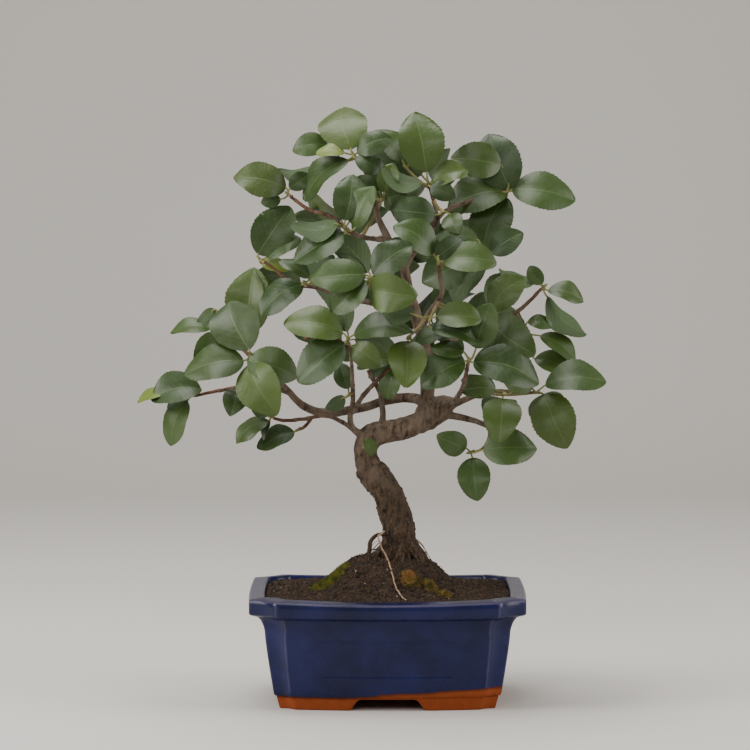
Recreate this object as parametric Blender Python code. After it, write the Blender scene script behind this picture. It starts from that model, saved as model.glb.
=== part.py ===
"""A small leafy bonsai tree in a glazed, footed pot.

Sizes below are in millimetres and become metres as each mesh is made. +Z is up, +X is to the
right and -Y is the front. The pot's own middle, on the ground, is where the design starts from.
At the end one empty carries every piece, so that the middle of the whole tree's underside is
the origin.
"""

import math
import random

import bmesh
import bpy
from mathutils import Vector
from mathutils.bvhtree import BVHTree

for old in list(bpy.data.objects):
    bpy.data.objects.remove(old, do_unlink=True)

MM = 0.001

# Clearances
TOUCH = 0.3  # gap between two pieces that rest on each other
LEAF_ROOM = 0.35  # least room that a leaf keeps from everything that is not its own shoot

# Pot
POT_WIDTH = 156.0
POT_DEPTH = 124.0
POT_HEIGHT = 63.5
RIM_BAND = 9.0  # height of the rim's upright face
RIM_TOP = 9.0  # width of the rim's upper face
RIM_SLOPE = 1.0  # the rim's upper face falls outwards by this much
RIM_OVERHANG = 6.2  # how far the rim stands out over the cove under it
WALL = 6.5
FLOOR = 6.0
FOOT_HEIGHT = 7.0
FOOT_WIDTH = 11.0
CORNER = 16.0  # width of the cut corner, seen from the front
SIDE_BOW = 4.0  # the long sides swell out by this much at their middle
END_BOW = 1.0  # and the short sides by this much
FLUTE = 0.9  # the cut corners are hollowed by this much
ARCH_WIDTH_FRONT = 37.0
ARCH_WIDTH_SIDE = 30.0
ARCH_SLANT = 6.0  # half the difference between an arch's foot and its top
DRAIN_RADIUS = 8.0
DRAIN_SPACING = 54.0
SCREEN_SIZE = 24.0
SCREEN_THICKNESS = 1.2

# Soil and moss
SOIL_BELOW_RIM = 2.5
MOUND_RISE = 20.0
MOUND_REACH = 31.0  # from the mound's middle to halfway down its slope
MOUND_X = 1.5
MOUND_Y = -1.0
MOSS_THICKNESS = 3.2

# Tree
TREE_HEIGHT = 253.0  # from the soil at the trunk to the top leaf
CROWN_SPREAD = 262.0  # from the left-most to the right-most leaf
CROWN_FULLNESS = 1.3  # how far the planned depths are drawn out to the front and the back
TRUNK_GIRTH = 1.0  # all wood is thicker or thinner by this factor
FOOT_RADIUS = 11.5  # the trunk's foot, inside the soil
FOOT_DEPTH = 10.0
LEAF_THICKNESS = 0.9
LEAF_SHAPE = 0.72  # a leaf's width over its length
LEAF_DROOP = 0.10  # how far a leaf's tip hangs, over its length
PETIOLE_RADIUS = 0.6
TWIG_RADIUS = 0.9

# The tree was planned in front elevation, as an eye at this distance and height sees it
EYE_DISTANCE = 2200.0
EYE_HEIGHT = 369.0
EYE_X = -7.0
PLANNED_HEIGHT = 253.0
PLANNED_SPREAD = 262.0
PLANNED_COLLAR = 79.0

REAR_TURN = 38.0  # most twins at the back turn their leaves this far up and inwards, in degrees
TWIN_RISE = 1.3  # a branch at the back leaves the wood this much above its twin in front
FOOT_X = 6.8  # where the trunk enters the soil


# ---------------------------------------------------------------- helpers

def material(name, colour, roughness):
    mat = bpy.data.materials.new(name)
    mat.use_nodes = True
    shader = mat.node_tree.nodes["Principled BSDF"]
    shader.inputs["Base Color"].default_value = (*colour, 1.0)
    shader.inputs["Roughness"].default_value = roughness
    shader.inputs["Metallic"].default_value = 0.0
    return mat


GLAZE = material("blue_glaze", (0.025, 0.05, 0.20), 0.15)
SOIL_MIX = material("soil", (0.045, 0.026, 0.015), 0.95)
MOSS_GREEN = material("green_moss", (0.12, 0.20, 0.02), 0.95)
MOSS_GOLD = material("gold_moss", (0.28, 0.20, 0.03), 0.95)
SCREEN = material("drain_mesh", (0.03, 0.03, 0.03), 0.6)
BARK = material("bark", (0.14, 0.085, 0.05), 0.85)
LEAF = material("leaf", (0.05, 0.12, 0.03), 0.35)


def new_object(name, points, faces, mat=None, smooth=True):
    """An object from points in millimetres, in the scene."""
    mesh = bpy.data.meshes.new(name)
    mesh.from_pydata([tuple(MM * c for c in point) for point in points], [], faces)
    mesh.update()
    if smooth:
        mesh.shade_smooth()
        mesh.set_sharp_from_angle(angle=math.radians(35))
    if mat:
        mesh.materials.append(mat)
    obj = bpy.data.objects.new(name, mesh)
    bpy.context.scene.collection.objects.link(obj)
    return obj


def rings_to_faces(ring_count, sides, closed=False):
    """Triangles between rings of equal length, with end caps unless the last ring meets the first."""
    faces = []
    last = ring_count if closed else ring_count - 1
    for r in range(last):
        low = r * sides
        high = ((r + 1) % ring_count) * sides
        for s in range(sides):
            t = (s + 1) % sides
            faces.append((low + s, low + t, high + t))
            faces.append((low + s, high + t, high + s))
    if not closed:
        faces.append(tuple(reversed(range(sides))))
        faces.append(tuple(range((ring_count - 1) * sides, ring_count * sides)))
    return faces


def combined(name, mat, body, others, operation="UNION"):
    """One object from body and the others, which are used up."""
    group = bpy.data.collections.new(name + "_operands")
    for other in others:
        group.objects.link(other)
    boolean = body.modifiers.new("combine", "BOOLEAN")
    boolean.operation = operation
    boolean.solver = "EXACT"
    boolean.operand_type = "COLLECTION"
    boolean.collection = group
    graph = bpy.context.evaluated_depsgraph_get()
    mesh = bpy.data.meshes.new_from_object(body.evaluated_get(graph))
    for used in [body, *others]:
        bpy.data.objects.remove(used, do_unlink=True)
    bpy.data.collections.remove(group)
    mesh.name = name
    mesh.materials.clear()
    mesh.materials.append(mat)
    result = bpy.data.objects.new(name, mesh)
    bpy.context.scene.collection.objects.link(result)
    return result


def tube(name, path, radii, sides):
    """A round bar along path, its rings turned as little as possible from one to the next."""
    path = [Vector(p) for p in path]
    side = Vector((0.31, 0.95, 0.07))
    points = []
    for i, (here, radius) in enumerate(zip(path, radii)):
        along = (path[min(i + 1, len(path) - 1)] - path[max(i - 1, 0)]).normalized()
        side = (side - along * side.dot(along)).normalized()
        up = along.cross(side)
        for s in range(sides):
            angle = 2 * math.pi * s / sides
            points.append(here + radius * (math.cos(angle) * side + math.sin(angle) * up))
    return new_object(name, points, rings_to_faces(len(path), sides))


def box(name, low, high):
    points = [(x, y, z) for z in (low[2], high[2]) for y in (low[1], high[1])
              for x in (low[0], high[0])]
    faces = [(0, 2, 3, 1), (4, 5, 7, 6), (0, 1, 5, 4), (2, 6, 7, 3), (0, 4, 6, 2), (1, 3, 7, 5)]
    return new_object(name, points, faces, smooth=False)


def cylinder(name, centre, radius, low, high, sides):
    rings = [[(centre[0] + radius * math.cos(2 * math.pi * s / sides),
               centre[1] + radius * math.sin(2 * math.pi * s / sides), z) for s in range(sides)]
             for z in (low, high)]
    return new_object(name, rings[0] + rings[1], rings_to_faces(2, sides))


def triangles_tree(points, faces, room):
    return BVHTree.FromPolygons([tuple(p) for p in points], faces, epsilon=room)


def object_tree(obj, room):
    return triangles_tree([v.co / MM for v in obj.data.vertices],
                          [tuple(p.vertices) for p in obj.data.polygons], room)


# ---------------------------------------------------------------- pot

SIDE_STEPS = 6


def outline(inset, corner, z, scale=1.0):
    """The pot's plan at one height: four bowed sides joined by hollowed cut corners."""
    half_x = POT_WIDTH / 2 - inset
    half_y = POT_DEPTH / 2 - inset
    points = []
    for quarter in range(4):
        half_long, half_out = (half_x, half_y) if quarter % 2 == 0 else (half_y, half_x)
        bow, next_bow = (SIDE_BOW, END_BOW) if quarter % 2 == 0 else (END_BOW, SIDE_BOW)
        turn = quarter * math.pi / 2
        end = half_long - corner
        plan = []
        for step in range(SIDE_STEPS + 1):
            share = 2 * step / SIDE_STEPS - 1
            plan.append((share * end, -(half_out - bow * share * share)))
        next_x = half_long - next_bow
        next_y = -(half_out - corner)
        middle_x = (plan[-1][0] + next_x) / 2
        middle_y = (plan[-1][1] + next_y) / 2
        plan.append((middle_x - FLUTE, middle_y + FLUTE))
        for x, y in plan:
            points.append((scale * (x * math.cos(turn) - y * math.sin(turn)),
                           scale * (x * math.sin(turn) + y * math.cos(turn)), z))
    return points


def loft(name, rings, closed=False, mat=None):
    points = [point for ring in rings for point in ring]
    return new_object(name, points, rings_to_faces(len(rings), len(rings[0]), closed), mat)


RIM_EDGE = POT_HEIGHT - RIM_SLOPE
BAND_FOOT = RIM_EDGE - RIM_BAND
COVE_FOOT = BAND_FOOT - 12.0
COVE_INSET = RIM_OVERHANG + 2.6
BODY_FOOT = FOOT_HEIGHT + 0.5
BODY_TAPER = 4.6  # the body narrows by this much from the cove to its foot
FOOT_INSET = COVE_INSET + BODY_TAPER + 1.6
FOOT_TAPER = 1.8
FLOOR_TOP = BODY_FOOT + FLOOR

body_rings = [
    outline(COVE_INSET + BODY_TAPER + 0.9, CORNER - 6.0, BODY_FOOT),
    outline(COVE_INSET + BODY_TAPER, CORNER - 6.0, BODY_FOOT + 2.0),
    outline(COVE_INSET + 0.6 * BODY_TAPER, CORNER - 5.0, BODY_FOOT + 0.5 * (COVE_FOOT - BODY_FOOT)),
    outline(COVE_INSET, CORNER - 4.0, COVE_FOOT),
    outline(RIM_OVERHANG + 1.0, CORNER - 2.6, BAND_FOOT - 4.5),
    outline(RIM_OVERHANG, CORNER - 2.0, BAND_FOOT - 1.0),
    outline(1.0, CORNER, BAND_FOOT),
    outline(0.0, CORNER, BAND_FOOT + 1.2),
    outline(0.0, CORNER, RIM_EDGE - 0.8),
    outline(0.8, CORNER, RIM_EDGE),
    outline(RIM_TOP - 1.0, CORNER - 3.0, POT_HEIGHT),
    outline(RIM_TOP, CORNER - 3.2, POT_HEIGHT - 0.8),
    outline(RIM_OVERHANG + WALL, CORNER - 4.5, BAND_FOOT - 4.0),
    outline(COVE_INSET + 0.8 * BODY_TAPER + WALL, CORNER - 6.0, FLOOR_TOP),
]
foot_rings = [
    outline(FOOT_INSET, CORNER - 6.5, BODY_FOOT + 1.0),
    outline(FOOT_INSET + FOOT_WIDTH, CORNER - 8.0, BODY_FOOT + 1.0),
    outline(FOOT_INSET + FOOT_TAPER + FOOT_WIDTH, CORNER - 8.0, 0.0),
    outline(FOOT_INSET + FOOT_TAPER, CORNER - 6.5, 0.0),
    outline(FOOT_INSET, CORNER - 6.5, FOOT_HEIGHT - 0.4),
]


def arch_cutter(name, width, turned):
    """A long wedge, wider at the ground, that opens the foot ring from side to side."""
    half = width / 2
    reach = POT_WIDTH
    section = [(-half - ARCH_SLANT / 2 - 1.0, -2.0), (half + ARCH_SLANT / 2 + 1.0, -2.0),
               (half - ARCH_SLANT / 2, FOOT_HEIGHT), (-half + ARCH_SLANT / 2, FOOT_HEIGHT)]
    ends = []
    for y in (-reach, reach):
        ends.append([(-y, x, z) if turned else (x, y, z) for x, z in section])
    return loft(name, [ends[1], ends[0]])


def drain_places():
    return [(side * DRAIN_SPACING / 2, 0.0) for side in (-1, 1)]


def make_pot():
    body = loft("pot_body", body_rings)
    feet = loft("pot_feet", foot_rings, closed=True)
    joined = combined("pot_joined", GLAZE, body, [feet])
    cutters = [
        arch_cutter("arch_front", ARCH_WIDTH_FRONT, False),
        arch_cutter("arch_side", ARCH_WIDTH_SIDE, True),
    ]
    for place in drain_places():
        cutters.append(cylinder("drain", place, DRAIN_RADIUS, 0.0, FLOOR_TOP + 5.0, 14))
    return combined("pot", GLAZE, joined, cutters, "DIFFERENCE")


make_pot()

for side_name, place in zip(("left", "right"), drain_places()):
    half = SCREEN_SIZE / 2
    screen = box("drain_screen_" + side_name,
                 (place[0] - half, place[1] - half, FLOOR_TOP + TOUCH),
                 (place[0] + half, place[1] + half, FLOOR_TOP + TOUCH + SCREEN_THICKNESS))
    screen.data.materials.append(SCREEN)


# ---------------------------------------------------------------- soil

SOIL_EDGE = POT_HEIGHT - SOIL_BELOW_RIM
SOIL_FOOT = FLOOR_TOP + 2 * TOUCH + SCREEN_THICKNESS
TOP_INSET = RIM_TOP + TOUCH + 0.5
SOIL_HALF_X = POT_WIDTH / 2 - TOP_INSET
SOIL_HALF_Y = POT_DEPTH / 2 - TOP_INSET


def soil_height(x, y):
    """The soil's surface: level at the rim, with a round mound that carries the tree."""
    far = math.hypot(x - MOUND_X, y - MOUND_Y) / MOUND_REACH
    edge = max(abs(x) / SOIL_HALF_X, abs(y) / SOIL_HALF_Y)
    return SOIL_EDGE + MOUND_RISE * max(0.0, 1 - edge ** 6) / (1 + far ** 6)


COLLAR = soil_height(FOOT_X, 0.0)


def soil_solid(name, lift):
    rings = [outline(COVE_INSET + 0.8 * BODY_TAPER + WALL + TOUCH + 0.4, CORNER - 6.0, SOIL_FOOT),
             outline(RIM_OVERHANG + WALL + TOUCH + 0.7, CORNER - 4.5, BAND_FOOT - 4.0 + lift)]
    for share in (1.0, 0.93, 0.84, 0.73, 0.61, 0.48, 0.34, 0.19, 0.05):
        ring = outline(TOP_INSET, CORNER - 3.4, 0.0, share)
        rings.append([(x, y, soil_height(x, y) + lift) for x, y, _ in ring])
    earth = loft(name + "_earth", rings, mat=SOIL_MIX)
    socket = cylinder(name + "_socket", (FOOT_X, 0.0), FOOT_RADIUS * TRUNK_GIRTH + 3 * TOUCH,
                      COLLAR - FOOT_DEPTH, COLLAR + 40.0, 16)
    return combined(name, SOIL_MIX, earth, [socket], "DIFFERENCE")


soil = soil_solid("soil", 0.0)


def raised_soil():
    """The soil again, a touch higher: what lies on the soil is cut back by it."""
    return soil_solid("raised_soil", TOUCH)


# Middle, as shares of the soil's half width and depth, then half width, half depth
MOSS = [
    ("moss_green", MOSS_GREEN, (-0.48, -0.16), (12.0, 9.5)),
    ("moss_gold_left", MOSS_GOLD, (0.19, -0.57), (6.5, 5.0)),
    ("moss_gold_middle", MOSS_GOLD, (0.35, -0.55), (5.0, 4.5)),
    ("moss_gold_right", MOSS_GOLD, (0.47, -0.66), (4.5, 3.5)),
]

for moss_name, moss_mat, (share_x, share_y), (half_x, half_y) in MOSS:
    x, y = share_x * SOIL_HALF_X, share_y * SOIL_HALF_Y
    ring_angles = [math.radians(a) for a in (-75, -40, -5, 28, 55, 78)]
    rings = []
    for lat in ring_angles:
        rings.append([(x + half_x * math.cos(lat) * math.cos(2 * math.pi * s / 12),
                       y + half_y * math.cos(lat) * math.sin(2 * math.pi * s / 12),
                       soil_height(x, y) + MOSS_THICKNESS * (math.sin(lat) * 1.3 + 0.2)
                       + 0.5 * (soil_height(x + half_x * math.cos(lat) * math.cos(2 * math.pi * s / 12),
                                            y) - soil_height(x, y)))
                      for s in range(12)])
    cushion = loft(moss_name + "_dome", rings, mat=moss_mat)
    combined(moss_name, moss_mat, cushion, [raised_soil()], "DIFFERENCE")


# ---------------------------------------------------------------- wood

def at(u, v, y=0.0):
    """A point of the tree's plan: u and v as drawn in front elevation, y its depth."""
    y *= CROWN_FULLNESS
    far = 1 + y / EYE_DISTANCE
    x = EYE_X + (u - EYE_X) * far
    z = EYE_HEIGHT + (v - EYE_HEIGHT) * far
    spread = CROWN_SPREAD / PLANNED_SPREAD
    return Vector((FOOT_X + (x - FOOT_X) * spread, y * spread,
                   COLLAR + (z - PLANNED_COLLAR) * TREE_HEIGHT / PLANNED_HEIGHT))


# Each branch: name, sides of its section, whether it has a twin at the back, and its points
# (u, v, depth, thickness)
BRANCHES = [
    ("limb", 8, False, [
        (6.4, 89, 0, 20.5), (5.6, 100, 0, 19.5), (2.8, 108.6, 0, 19), (-1, 117, 0, 18), (-6, 124, 0, 18.5),
        (-11, 131, 0, 14.6), (-12.4, 139.5, 0, 14.6), (-9.5, 146.5, 0, 16), (-1.7, 149.6, -1, 13.5),
        (6.8, 151, -2, 13), (15, 153.5, -2, 13.5), (23.6, 158, -2, 15.5), (31, 163.3, -2, 15.5),
        (35, 165.3, -2, 11)]),
    ("leader", 6, False, [
        (22.5, 160, 0, 11), (22.5, 168, 0, 9.5), (22.5, 176, 0, 8.5), (21, 196, 0, 8), (17, 212.6, -1, 7.2),
        (12, 229.5, -2, 6.4), (9, 243.6, -2, 5.6), (1, 257.6, -3, 4.8), (-5.6, 271.7, -4, 4),
        (-8, 285, -5, 3), (-13, 297, -6, 2.4), (-18, 304.5, -6, 1.8)]),
    ("diagonal", 5, False, [
        (9, 241, -2, 4.4), (15, 252, -6, 3.8), (23.6, 261.6, -10, 3.2), (29, 271, -14, 2.8),
        (37, 276.5, -15, 2.4), (51, 281, -12, 2.2), (65, 284.5, -9, 1.8)]),
    ("crown_front", 5, True, [
        (28, 269, -13, 2.6), (26, 280, -17, 2.2), (23.5, 288, -18, 1.8)]),
    ("back_left", 6, False, [
        (22, 165, 3, 7), (16, 168.4, 10, 6.6), (6.8, 168.8, 14, 6), (-1.7, 167, 16, 5.6), (-13, 163.7, 18, 5.4),
        (-24, 161.4, 18, 5.6), (-35.4, 160.3, 16, 6), (-45, 163, 13, 5.2), (-51.8, 168, 9, 4.6),
        (-56.8, 173.8, 4, 4), (-66, 183, -8, 3), (-74.5, 192, -19, 2.2)]),
    ("left_reach", 5, False, [
        (-55, 171.5, 6, 3), (-67, 175.5, 1, 2.6), (-79, 175.5, -1, 2.2), (-94.5, 173, -1, 2), (-109, 170, 0, 1.6)]),
    ("left_back", 5, False, [
        (-63, 180, -4, 2.6), (-76, 191, 5, 2.2), (-89, 204, 13, 1.8)]),
    ("left_fork", 5, True, [
        (-12, 145, -2, 4.6), (-19.7, 152, -3.5, 4), (-21, 159, -5, 3.6), (-19.5, 167.6, -8, 3.2),
        (-20, 185, -26, 2.6), (-21.5, 200, -45, 2.2)]),
    ("mid_left", 5, True, [
        (-21, 196, -40, 2), (-30, 203, -42, 1.9), (-39, 204, -40, 1.8), (-47, 202.5, -37, 1.6)]),
    ("low_left", 5, False, [
        (-19.5, 151, -4, 2.6), (-27, 156, -6, 2.4), (-35.4, 158.6, -8, 2.3), (-46.7, 157, -9, 2.1),
        (-58, 156, -10, 2), (-64.5, 157.6, -10, 1.7)]),
    ("low_left_spur", 5, False, [
        (-42.8, 157.4, -8.6, 1.9), (-46.5, 152.6, -7.4, 1.8), (-49.5, 151, -6.4, 1.6)]),
    ("light_twig", 5, True, [
        (-19.5, 160.5, -5, 2.8), (-14.6, 168.8, -10, 2.5), (-9, 175.5, -12, 2.3), (-2.8, 181.7, -14, 2),
        (4.5, 188, -14, 1.7)]),
    ("behind_limb", 5, False, [
        (-3, 150, 5, 3.8), (-2.8, 160, 9, 3.4), (-4.2, 172, 13, 3), (-11, 184.5, 16, 2.4)]),
    ("right_upper", 5, False, [
        (31, 164, -3, 6), (37.5, 165.2, -4, 4.6), (43, 167.6, -6, 4), (51.8, 171, -10, 3.6), (57.4, 172.6, -12, 3.2),
        (70, 172.6, -16, 2.6), (83, 171.8, -19, 2)]),
    ("right_lower", 5, False, [
        (30, 159.5, -4, 6), (37, 158.6, -5, 4.6), (45, 157, -6, 4), (51.8, 155, -9, 3.4), (57.6, 151.4, -11, 2.8),
        (56.4, 143.6, -13, 2.2), (52.9, 139.4, -14, 2), (48.8, 138.2, -14, 1.8)]),
    ("right_riser", 5, True, [
        (34, 164, -6, 3.4), (39, 168.6, -18, 2.6), (43, 177, -34, 2.4), (45.4, 188, -47, 2)]),
    ("front_riser", 5, True, [
        (20.4, 203, -1, 4), (20, 209, -18, 3.6), (24, 217, -36, 3.2), (30.5, 227.5, -45, 2.8),
        (29.6, 237, -45, 2.4), (28.6, 244.5, -44, 1.8)]),
    ("right_reach", 5, False, [
        (21.5, 190, 1, 4), (34, 200, 8, 3.2), (56, 211, 10, 2.8), (73, 217.6, 7, 2.4), (86.6, 230.4, 5, 1.8)]),
    ("centre_front", 5, True, [
        (12.5, 227, -2, 3.4), (3, 232, -25, 2.6), (-8, 235.6, -47, 1.8)]),
    ("long_left", 5, True, [
        (15, 218, -1, 3.8), (-2, 221.6, -6, 3), (-21, 225, -12, 2.6), (-39, 231, -14, 2.4), (-49.5, 232.6, -13, 2.2),
        (-57, 236.4, -9, 2), (-69.5, 246, -5.4, 1.6)]),
    ("upper_left", 5, True, [
        (0.5, 258, -3, 3), (-10, 259, -8, 2.6), (-20, 262, -14, 2.4), (-32.6, 271.4, -13, 2.2),
        (-43.9, 275, -9, 2), (-54.5, 282.5, -5, 1.7)]),
]


ON_A_TWIN = ("mid_left",)  # grows from a branch that has a twin itself


def make_wood():
    foot_low = COLLAR - FOOT_DEPTH + 3 * TOUCH
    foot = tube("foot", [(FOOT_X, 0, foot_low), (FOOT_X, 0, COLLAR + 1.0), (FOOT_X - 0.2, 0, COLLAR + 5.0),
                         at(6.2, 91, 0)],
                [r * TRUNK_GIRTH for r in (FOOT_RADIUS - 1.5, FOOT_RADIUS, FOOT_RADIUS - 0.4, 10.2)], 8)
    parts = []
    for name, sides, twin, points in BRANCHES:
        for back in (False, True) if twin else (False,):
            radii = [w / 2 * TRUNK_GIRTH for _, _, _, w in points]
            path = [at(u, v, -y if back else y) for u, v, y, _ in points]
            if back and name not in ON_A_TWIN:
                path[0] = at(points[0][0], points[0][1] + TWIN_RISE, points[0][2])
            if name == "limb":
                path.insert(0, Vector((FOOT_X, 0.3, COLLAR + 2.0)))
                radii.insert(0, 10.4 * TRUNK_GIRTH)
            parts.append(tube(name, path, radii, sides))
    parts += roots()
    wood = combined("wood", BARK, foot, parts)
    return combined("trunk", BARK, wood, [raised_soil()], "DIFFERENCE")


def roots():
    """Flaring root collar, a rope-like arch on the left, and one long thin root in front."""
    made = []
    reach = FOOT_RADIUS * TRUNK_GIRTH
    for angle, length, radius in ((25, 9, 3.6), (115, 8, 3.4), (195, 8, 3.8), (245, 10, 3.0), (322, 8, 3.5)):
        out = Vector((math.cos(math.radians(angle)), math.sin(math.radians(angle)), 0))
        middle = Vector((FOOT_X, 0, 0))
        ends = [middle + out * (reach - 6) + Vector((0, 0, COLLAR + 8)), middle + out * (reach - 1)
                + Vector((0, 0, COLLAR + 2.5)), middle + out * (reach + length)]
        ends[2].z = soil_height(ends[2].x, ends[2].y) - 0.5
        made.append(tube("collar_root", ends, [radius, radius * 0.8, radius * 0.45], 6))
    arch = [at(-1.5, 92, -6), at(-8, 92.5, -9), at(-11.5, 88.5, -10), at(-12.2, 83, -10.5)]
    arch.append(Vector((arch[-1].x - 0.5, arch[-1].y - 0.5, soil_height(arch[-1].x, arch[-1].y) - 1.5)))
    made.append(tube("arch_root", arch, [1.9, 1.7, 1.5, 1.5, 1.6], 6))
    ground = object_tree(soil, 0.0)
    thin = [at(-2, 93, -7), at(-5, 89, -11.5)]
    for x, y in ((-0.2, -0.32), (0.9, -0.42), (2.3, -0.53), (4.4, -0.66), (7.0, -0.79), (10.5, -0.92)):
        spot_y = y * SOIL_HALF_Y
        surface = ground.ray_cast(Vector((x, spot_y, 2 * COLLAR)), Vector((0, 0, -1)))[0]
        thin.append(surface + Vector((0, 0, 1.2)))
    made.append(tube("thin_root", thin, [1.1, 1.0, 0.95, 0.95, 0.95, 0.95, 0.9, 0.8], 6))
    return made


trunk = make_wood()


# ---------------------------------------------------------------- leafy shoots

# Each shoot: name, how far its twin at the back is turned inwards in degrees (None where it has
# no twin), where its leaf stalks meet (u, v, depth),
# and its leaves: foot u, v, tip u, v, width as seen, and -1 where its underside shows
SHOOTS = [
    ("right_top", None, (69, 285.8, -8), [
        (67.5, 285, 34, 275, 17, 1), (69, 286, 57, 317, 25, 1), (70, 286.5, 105, 280, 19, 1),
        (67, 282, 54, 252, 21, 1), (64, 300, 36, 304, 20, 1)]),
    ("left_high", None, (-72, 247.5, -5), [
        (-73, 250, -55, 276, 23, 1), (-68, 248.5, -49, 259, 10, 1), (-71, 245, -56, 241, 8, 1)]),
    ("left_front", None, (-77, 194, -22), [
        (-78, 196, -90, 221, 27, 1), (-79, 190, -51, 181, 19, 1), (-78, 188, -62, 161, 24, 1),
        (-81, 190, -114, 182, 19, 1)]),
    ("left_rear", None, (-91, 205.6, 14), [
        (-77, 206, -75, 242, 24, 1), (-69, 214, -74, 241, 6, 1), (-97, 219, -107, 209, 10, -1),
        (-100, 208, -122, 206, 8, 1), (-92, 203, -108, 187, 19, 1)]),
    ("left_tip", None, (-111, 170, 0), [
        (-105, 174, -133, 168, 15, 1), (-113, 167, -122, 142, 13, 1), (-113, 171.5, -124, 163, 9, -1),
        (-124, 172, -141, 166.5, 5, 1)]),
    ("left_under", None, (-66, 158.4, -10), [
        (-66, 160, -77, 165, 8, -1), (-67, 156, -85, 143, 8, 1), (-66.5, 156, -70, 145, 5, 1),
        (-85, 173, -88, 160, 14, 1)]),
    ("left_spur", None, (-50.8, 150.6, -6), [(-52.5, 149.5, -73, 140, 12, 1)]),
    ("top", None, (-19.6, 306.6, -6), [
        (-20.5, 309, -25.5, 331, 27, 1), (-24, 307, -40, 306.5, 6, 1), (-18, 304, -2, 296, 10, 1),
        (-17, 307, 2, 315, 12, 1), (-22, 303, -46, 280, 12, 1)]),
    ("top_left", None, (-27, 303.5, 8), [
        (-33, 311, -53, 308, 13, 1), (-33, 301, -61, 297, 9, -1), (-28, 300, -45, 292, 10, 1)]),
    ("upper_left", None, (-56, 284, -4), [
        (-57, 287.5, -86, 293.5, 19, 1), (-60, 281, -71, 279, 8, 1), (-55, 287, -44, 295, 10, 1)]),
    ("upper_front", REAR_TURN, (-24, 265, -26), [
        (-24, 269, -20, 294, 19, 1), (-24, 261.5, -52, 246, 17, 1), (-28, 267, -54, 266, 12, -1),
        (-18, 265, -8, 288, 14, 1)]),
    ("left_middle", REAR_TURN, (-47, 234.5, -22), [
        (-48, 233, -71, 215, 16, 1), (-44, 237, -61, 246, 8, 1), (-42, 238, -30, 249, 10, -1)]),
    ("heart", REAR_TURN, (-9.4, 236.4, -50), [
        (-8, 238, 14, 255, 17, 1), (-10, 230, 16, 227, 21, 1), (-12, 235, -31, 217, 17, 1),
        (-12.5, 238.5, -43, 236, 18, 1)]),
    ("heart_right", REAR_TURN, (28.4, 246.6, -44), [
        (28.5, 249, 42, 258, 12, 1), (31, 246, 61, 245, 14, 1), (26, 250, 4, 266, 15, 1)]),
    ("right_middle", REAR_TURN, (53.5, 250, -28), [
        (52, 246, 20, 234, 19, 1), (51, 258, 27, 260, 12, 1), (58, 251, 76, 262, 14, 1)]),
    ("front_right", REAR_TURN, (24, 213.6, -52), [
        (28, 215, 53, 213, 14, 1), (25, 208, 51, 200, 11, 1), (15, 216, -4, 222, 13, -1)]),
    ("front_low", REAR_TURN, (12, 203.6, -44), [(11.6, 201, 10.4, 177, 21, 1), (16, 200, 38, 207, 9, 1)]),
    ("front_left", REAR_TURN, (-22.4, 202.4, -48), [
        (-25, 205.6, -58, 210.5, 17, 1), (-24, 199, -50, 178, 20, 1), (-19, 204.6, 14, 205.5, 14, 1),
        (-20, 198, -4, 187, 14, 1)]),
    ("twig_leaf", REAR_TURN, (5.6, 189.4, -14), [(6.6, 187, 0.4, 168, 12, 1), (2, 190, -17, 186, 10, 1)]),
    ("fork_leaf", None, (-22.4, 170, -14), [(-24, 169.4, -35, 163, 8, -1), (-22, 174, -27, 188, 11, 1)]),
    ("elbow_leaf", None, (-13, 141, -12), [(-12, 146, -8.8, 136, 7, 1)]),
    ("right_front", 0.0, (46, 190.6, -50), [
        (43.6, 189.6, 19, 175.6, 17, 1), (48.4, 189, 85, 177, 20, 1), (43, 195, 25, 197, 9, 1),
        (50, 197, 58, 222, 17, 1)]),
    ("right_fan", 0.0, (56, 214.4, -34), [(58, 212.6, 82, 195, 24, 1), (58, 219, 77, 236, 16, 1)]),
    ("right_end", 0.0, (85, 171.8, -20), [
        (88, 171, 101, 142, 24, 1), (89, 176, 123, 177.5, 13, 1), (82, 174, 64, 184, 14, 1)]),
    ("right_under", 0.0, (66, 171.6, -25), [(65, 168.5, 62.6, 146, 21, 1), (61, 173.6, 42, 173, 11, 1)]),
    ("right_low", None, (46.8, 138, -14), [
        (48, 135, 50.4, 112, 18, 1), (54, 139.4, 84, 140, 20, 1), (44.6, 140.4, 28, 148, 14, 1)]),
    ("right_wing", None, (88.2, 231.8, 5), [
        (87, 233, 80, 243, 9, 1), (90.5, 229.6, 110, 223, 9, 1), (90, 226, 112, 205, 10, -1),
        (84, 235, 63, 242, 8, -1)]),
    ("right_side", None, (79.6, 204, 2), [
        (83, 191, 103, 182, 11, 1), (86, 204, 106, 190, 9, 1), (79, 212, 93, 209, 7, 1)]),
    ("crown_middle", REAR_TURN, (-3, 281, -16), [
        (-1.6, 281, 11, 284, 10, 1), (-5, 285, -20, 291, 11, 1), (-2, 284.5, 3, 301, 12, 1)]),
    ("crown_back", None, (10, 299, 6), [(8, 303, -8, 319, 13, 1), (13, 302, 30, 311, 14, 1)]),
    ("crown_right", REAR_TURN, (22.6, 291.2, -18), [
        (22, 296, 15, 329, 25, 1), (20, 290, -3, 298, 9, -1), (25, 290, 45, 297, 11, 1),
        (24, 288, 38, 282, 11, 1)]),
    ("crown_low", REAR_TURN, (31, 274.6, -28), [(27, 272, 2, 275, 16, 1), (35, 272.6, 40, 262, 12, 1)]),
]

VIEWER = Vector((0, -1, 0))


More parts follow.
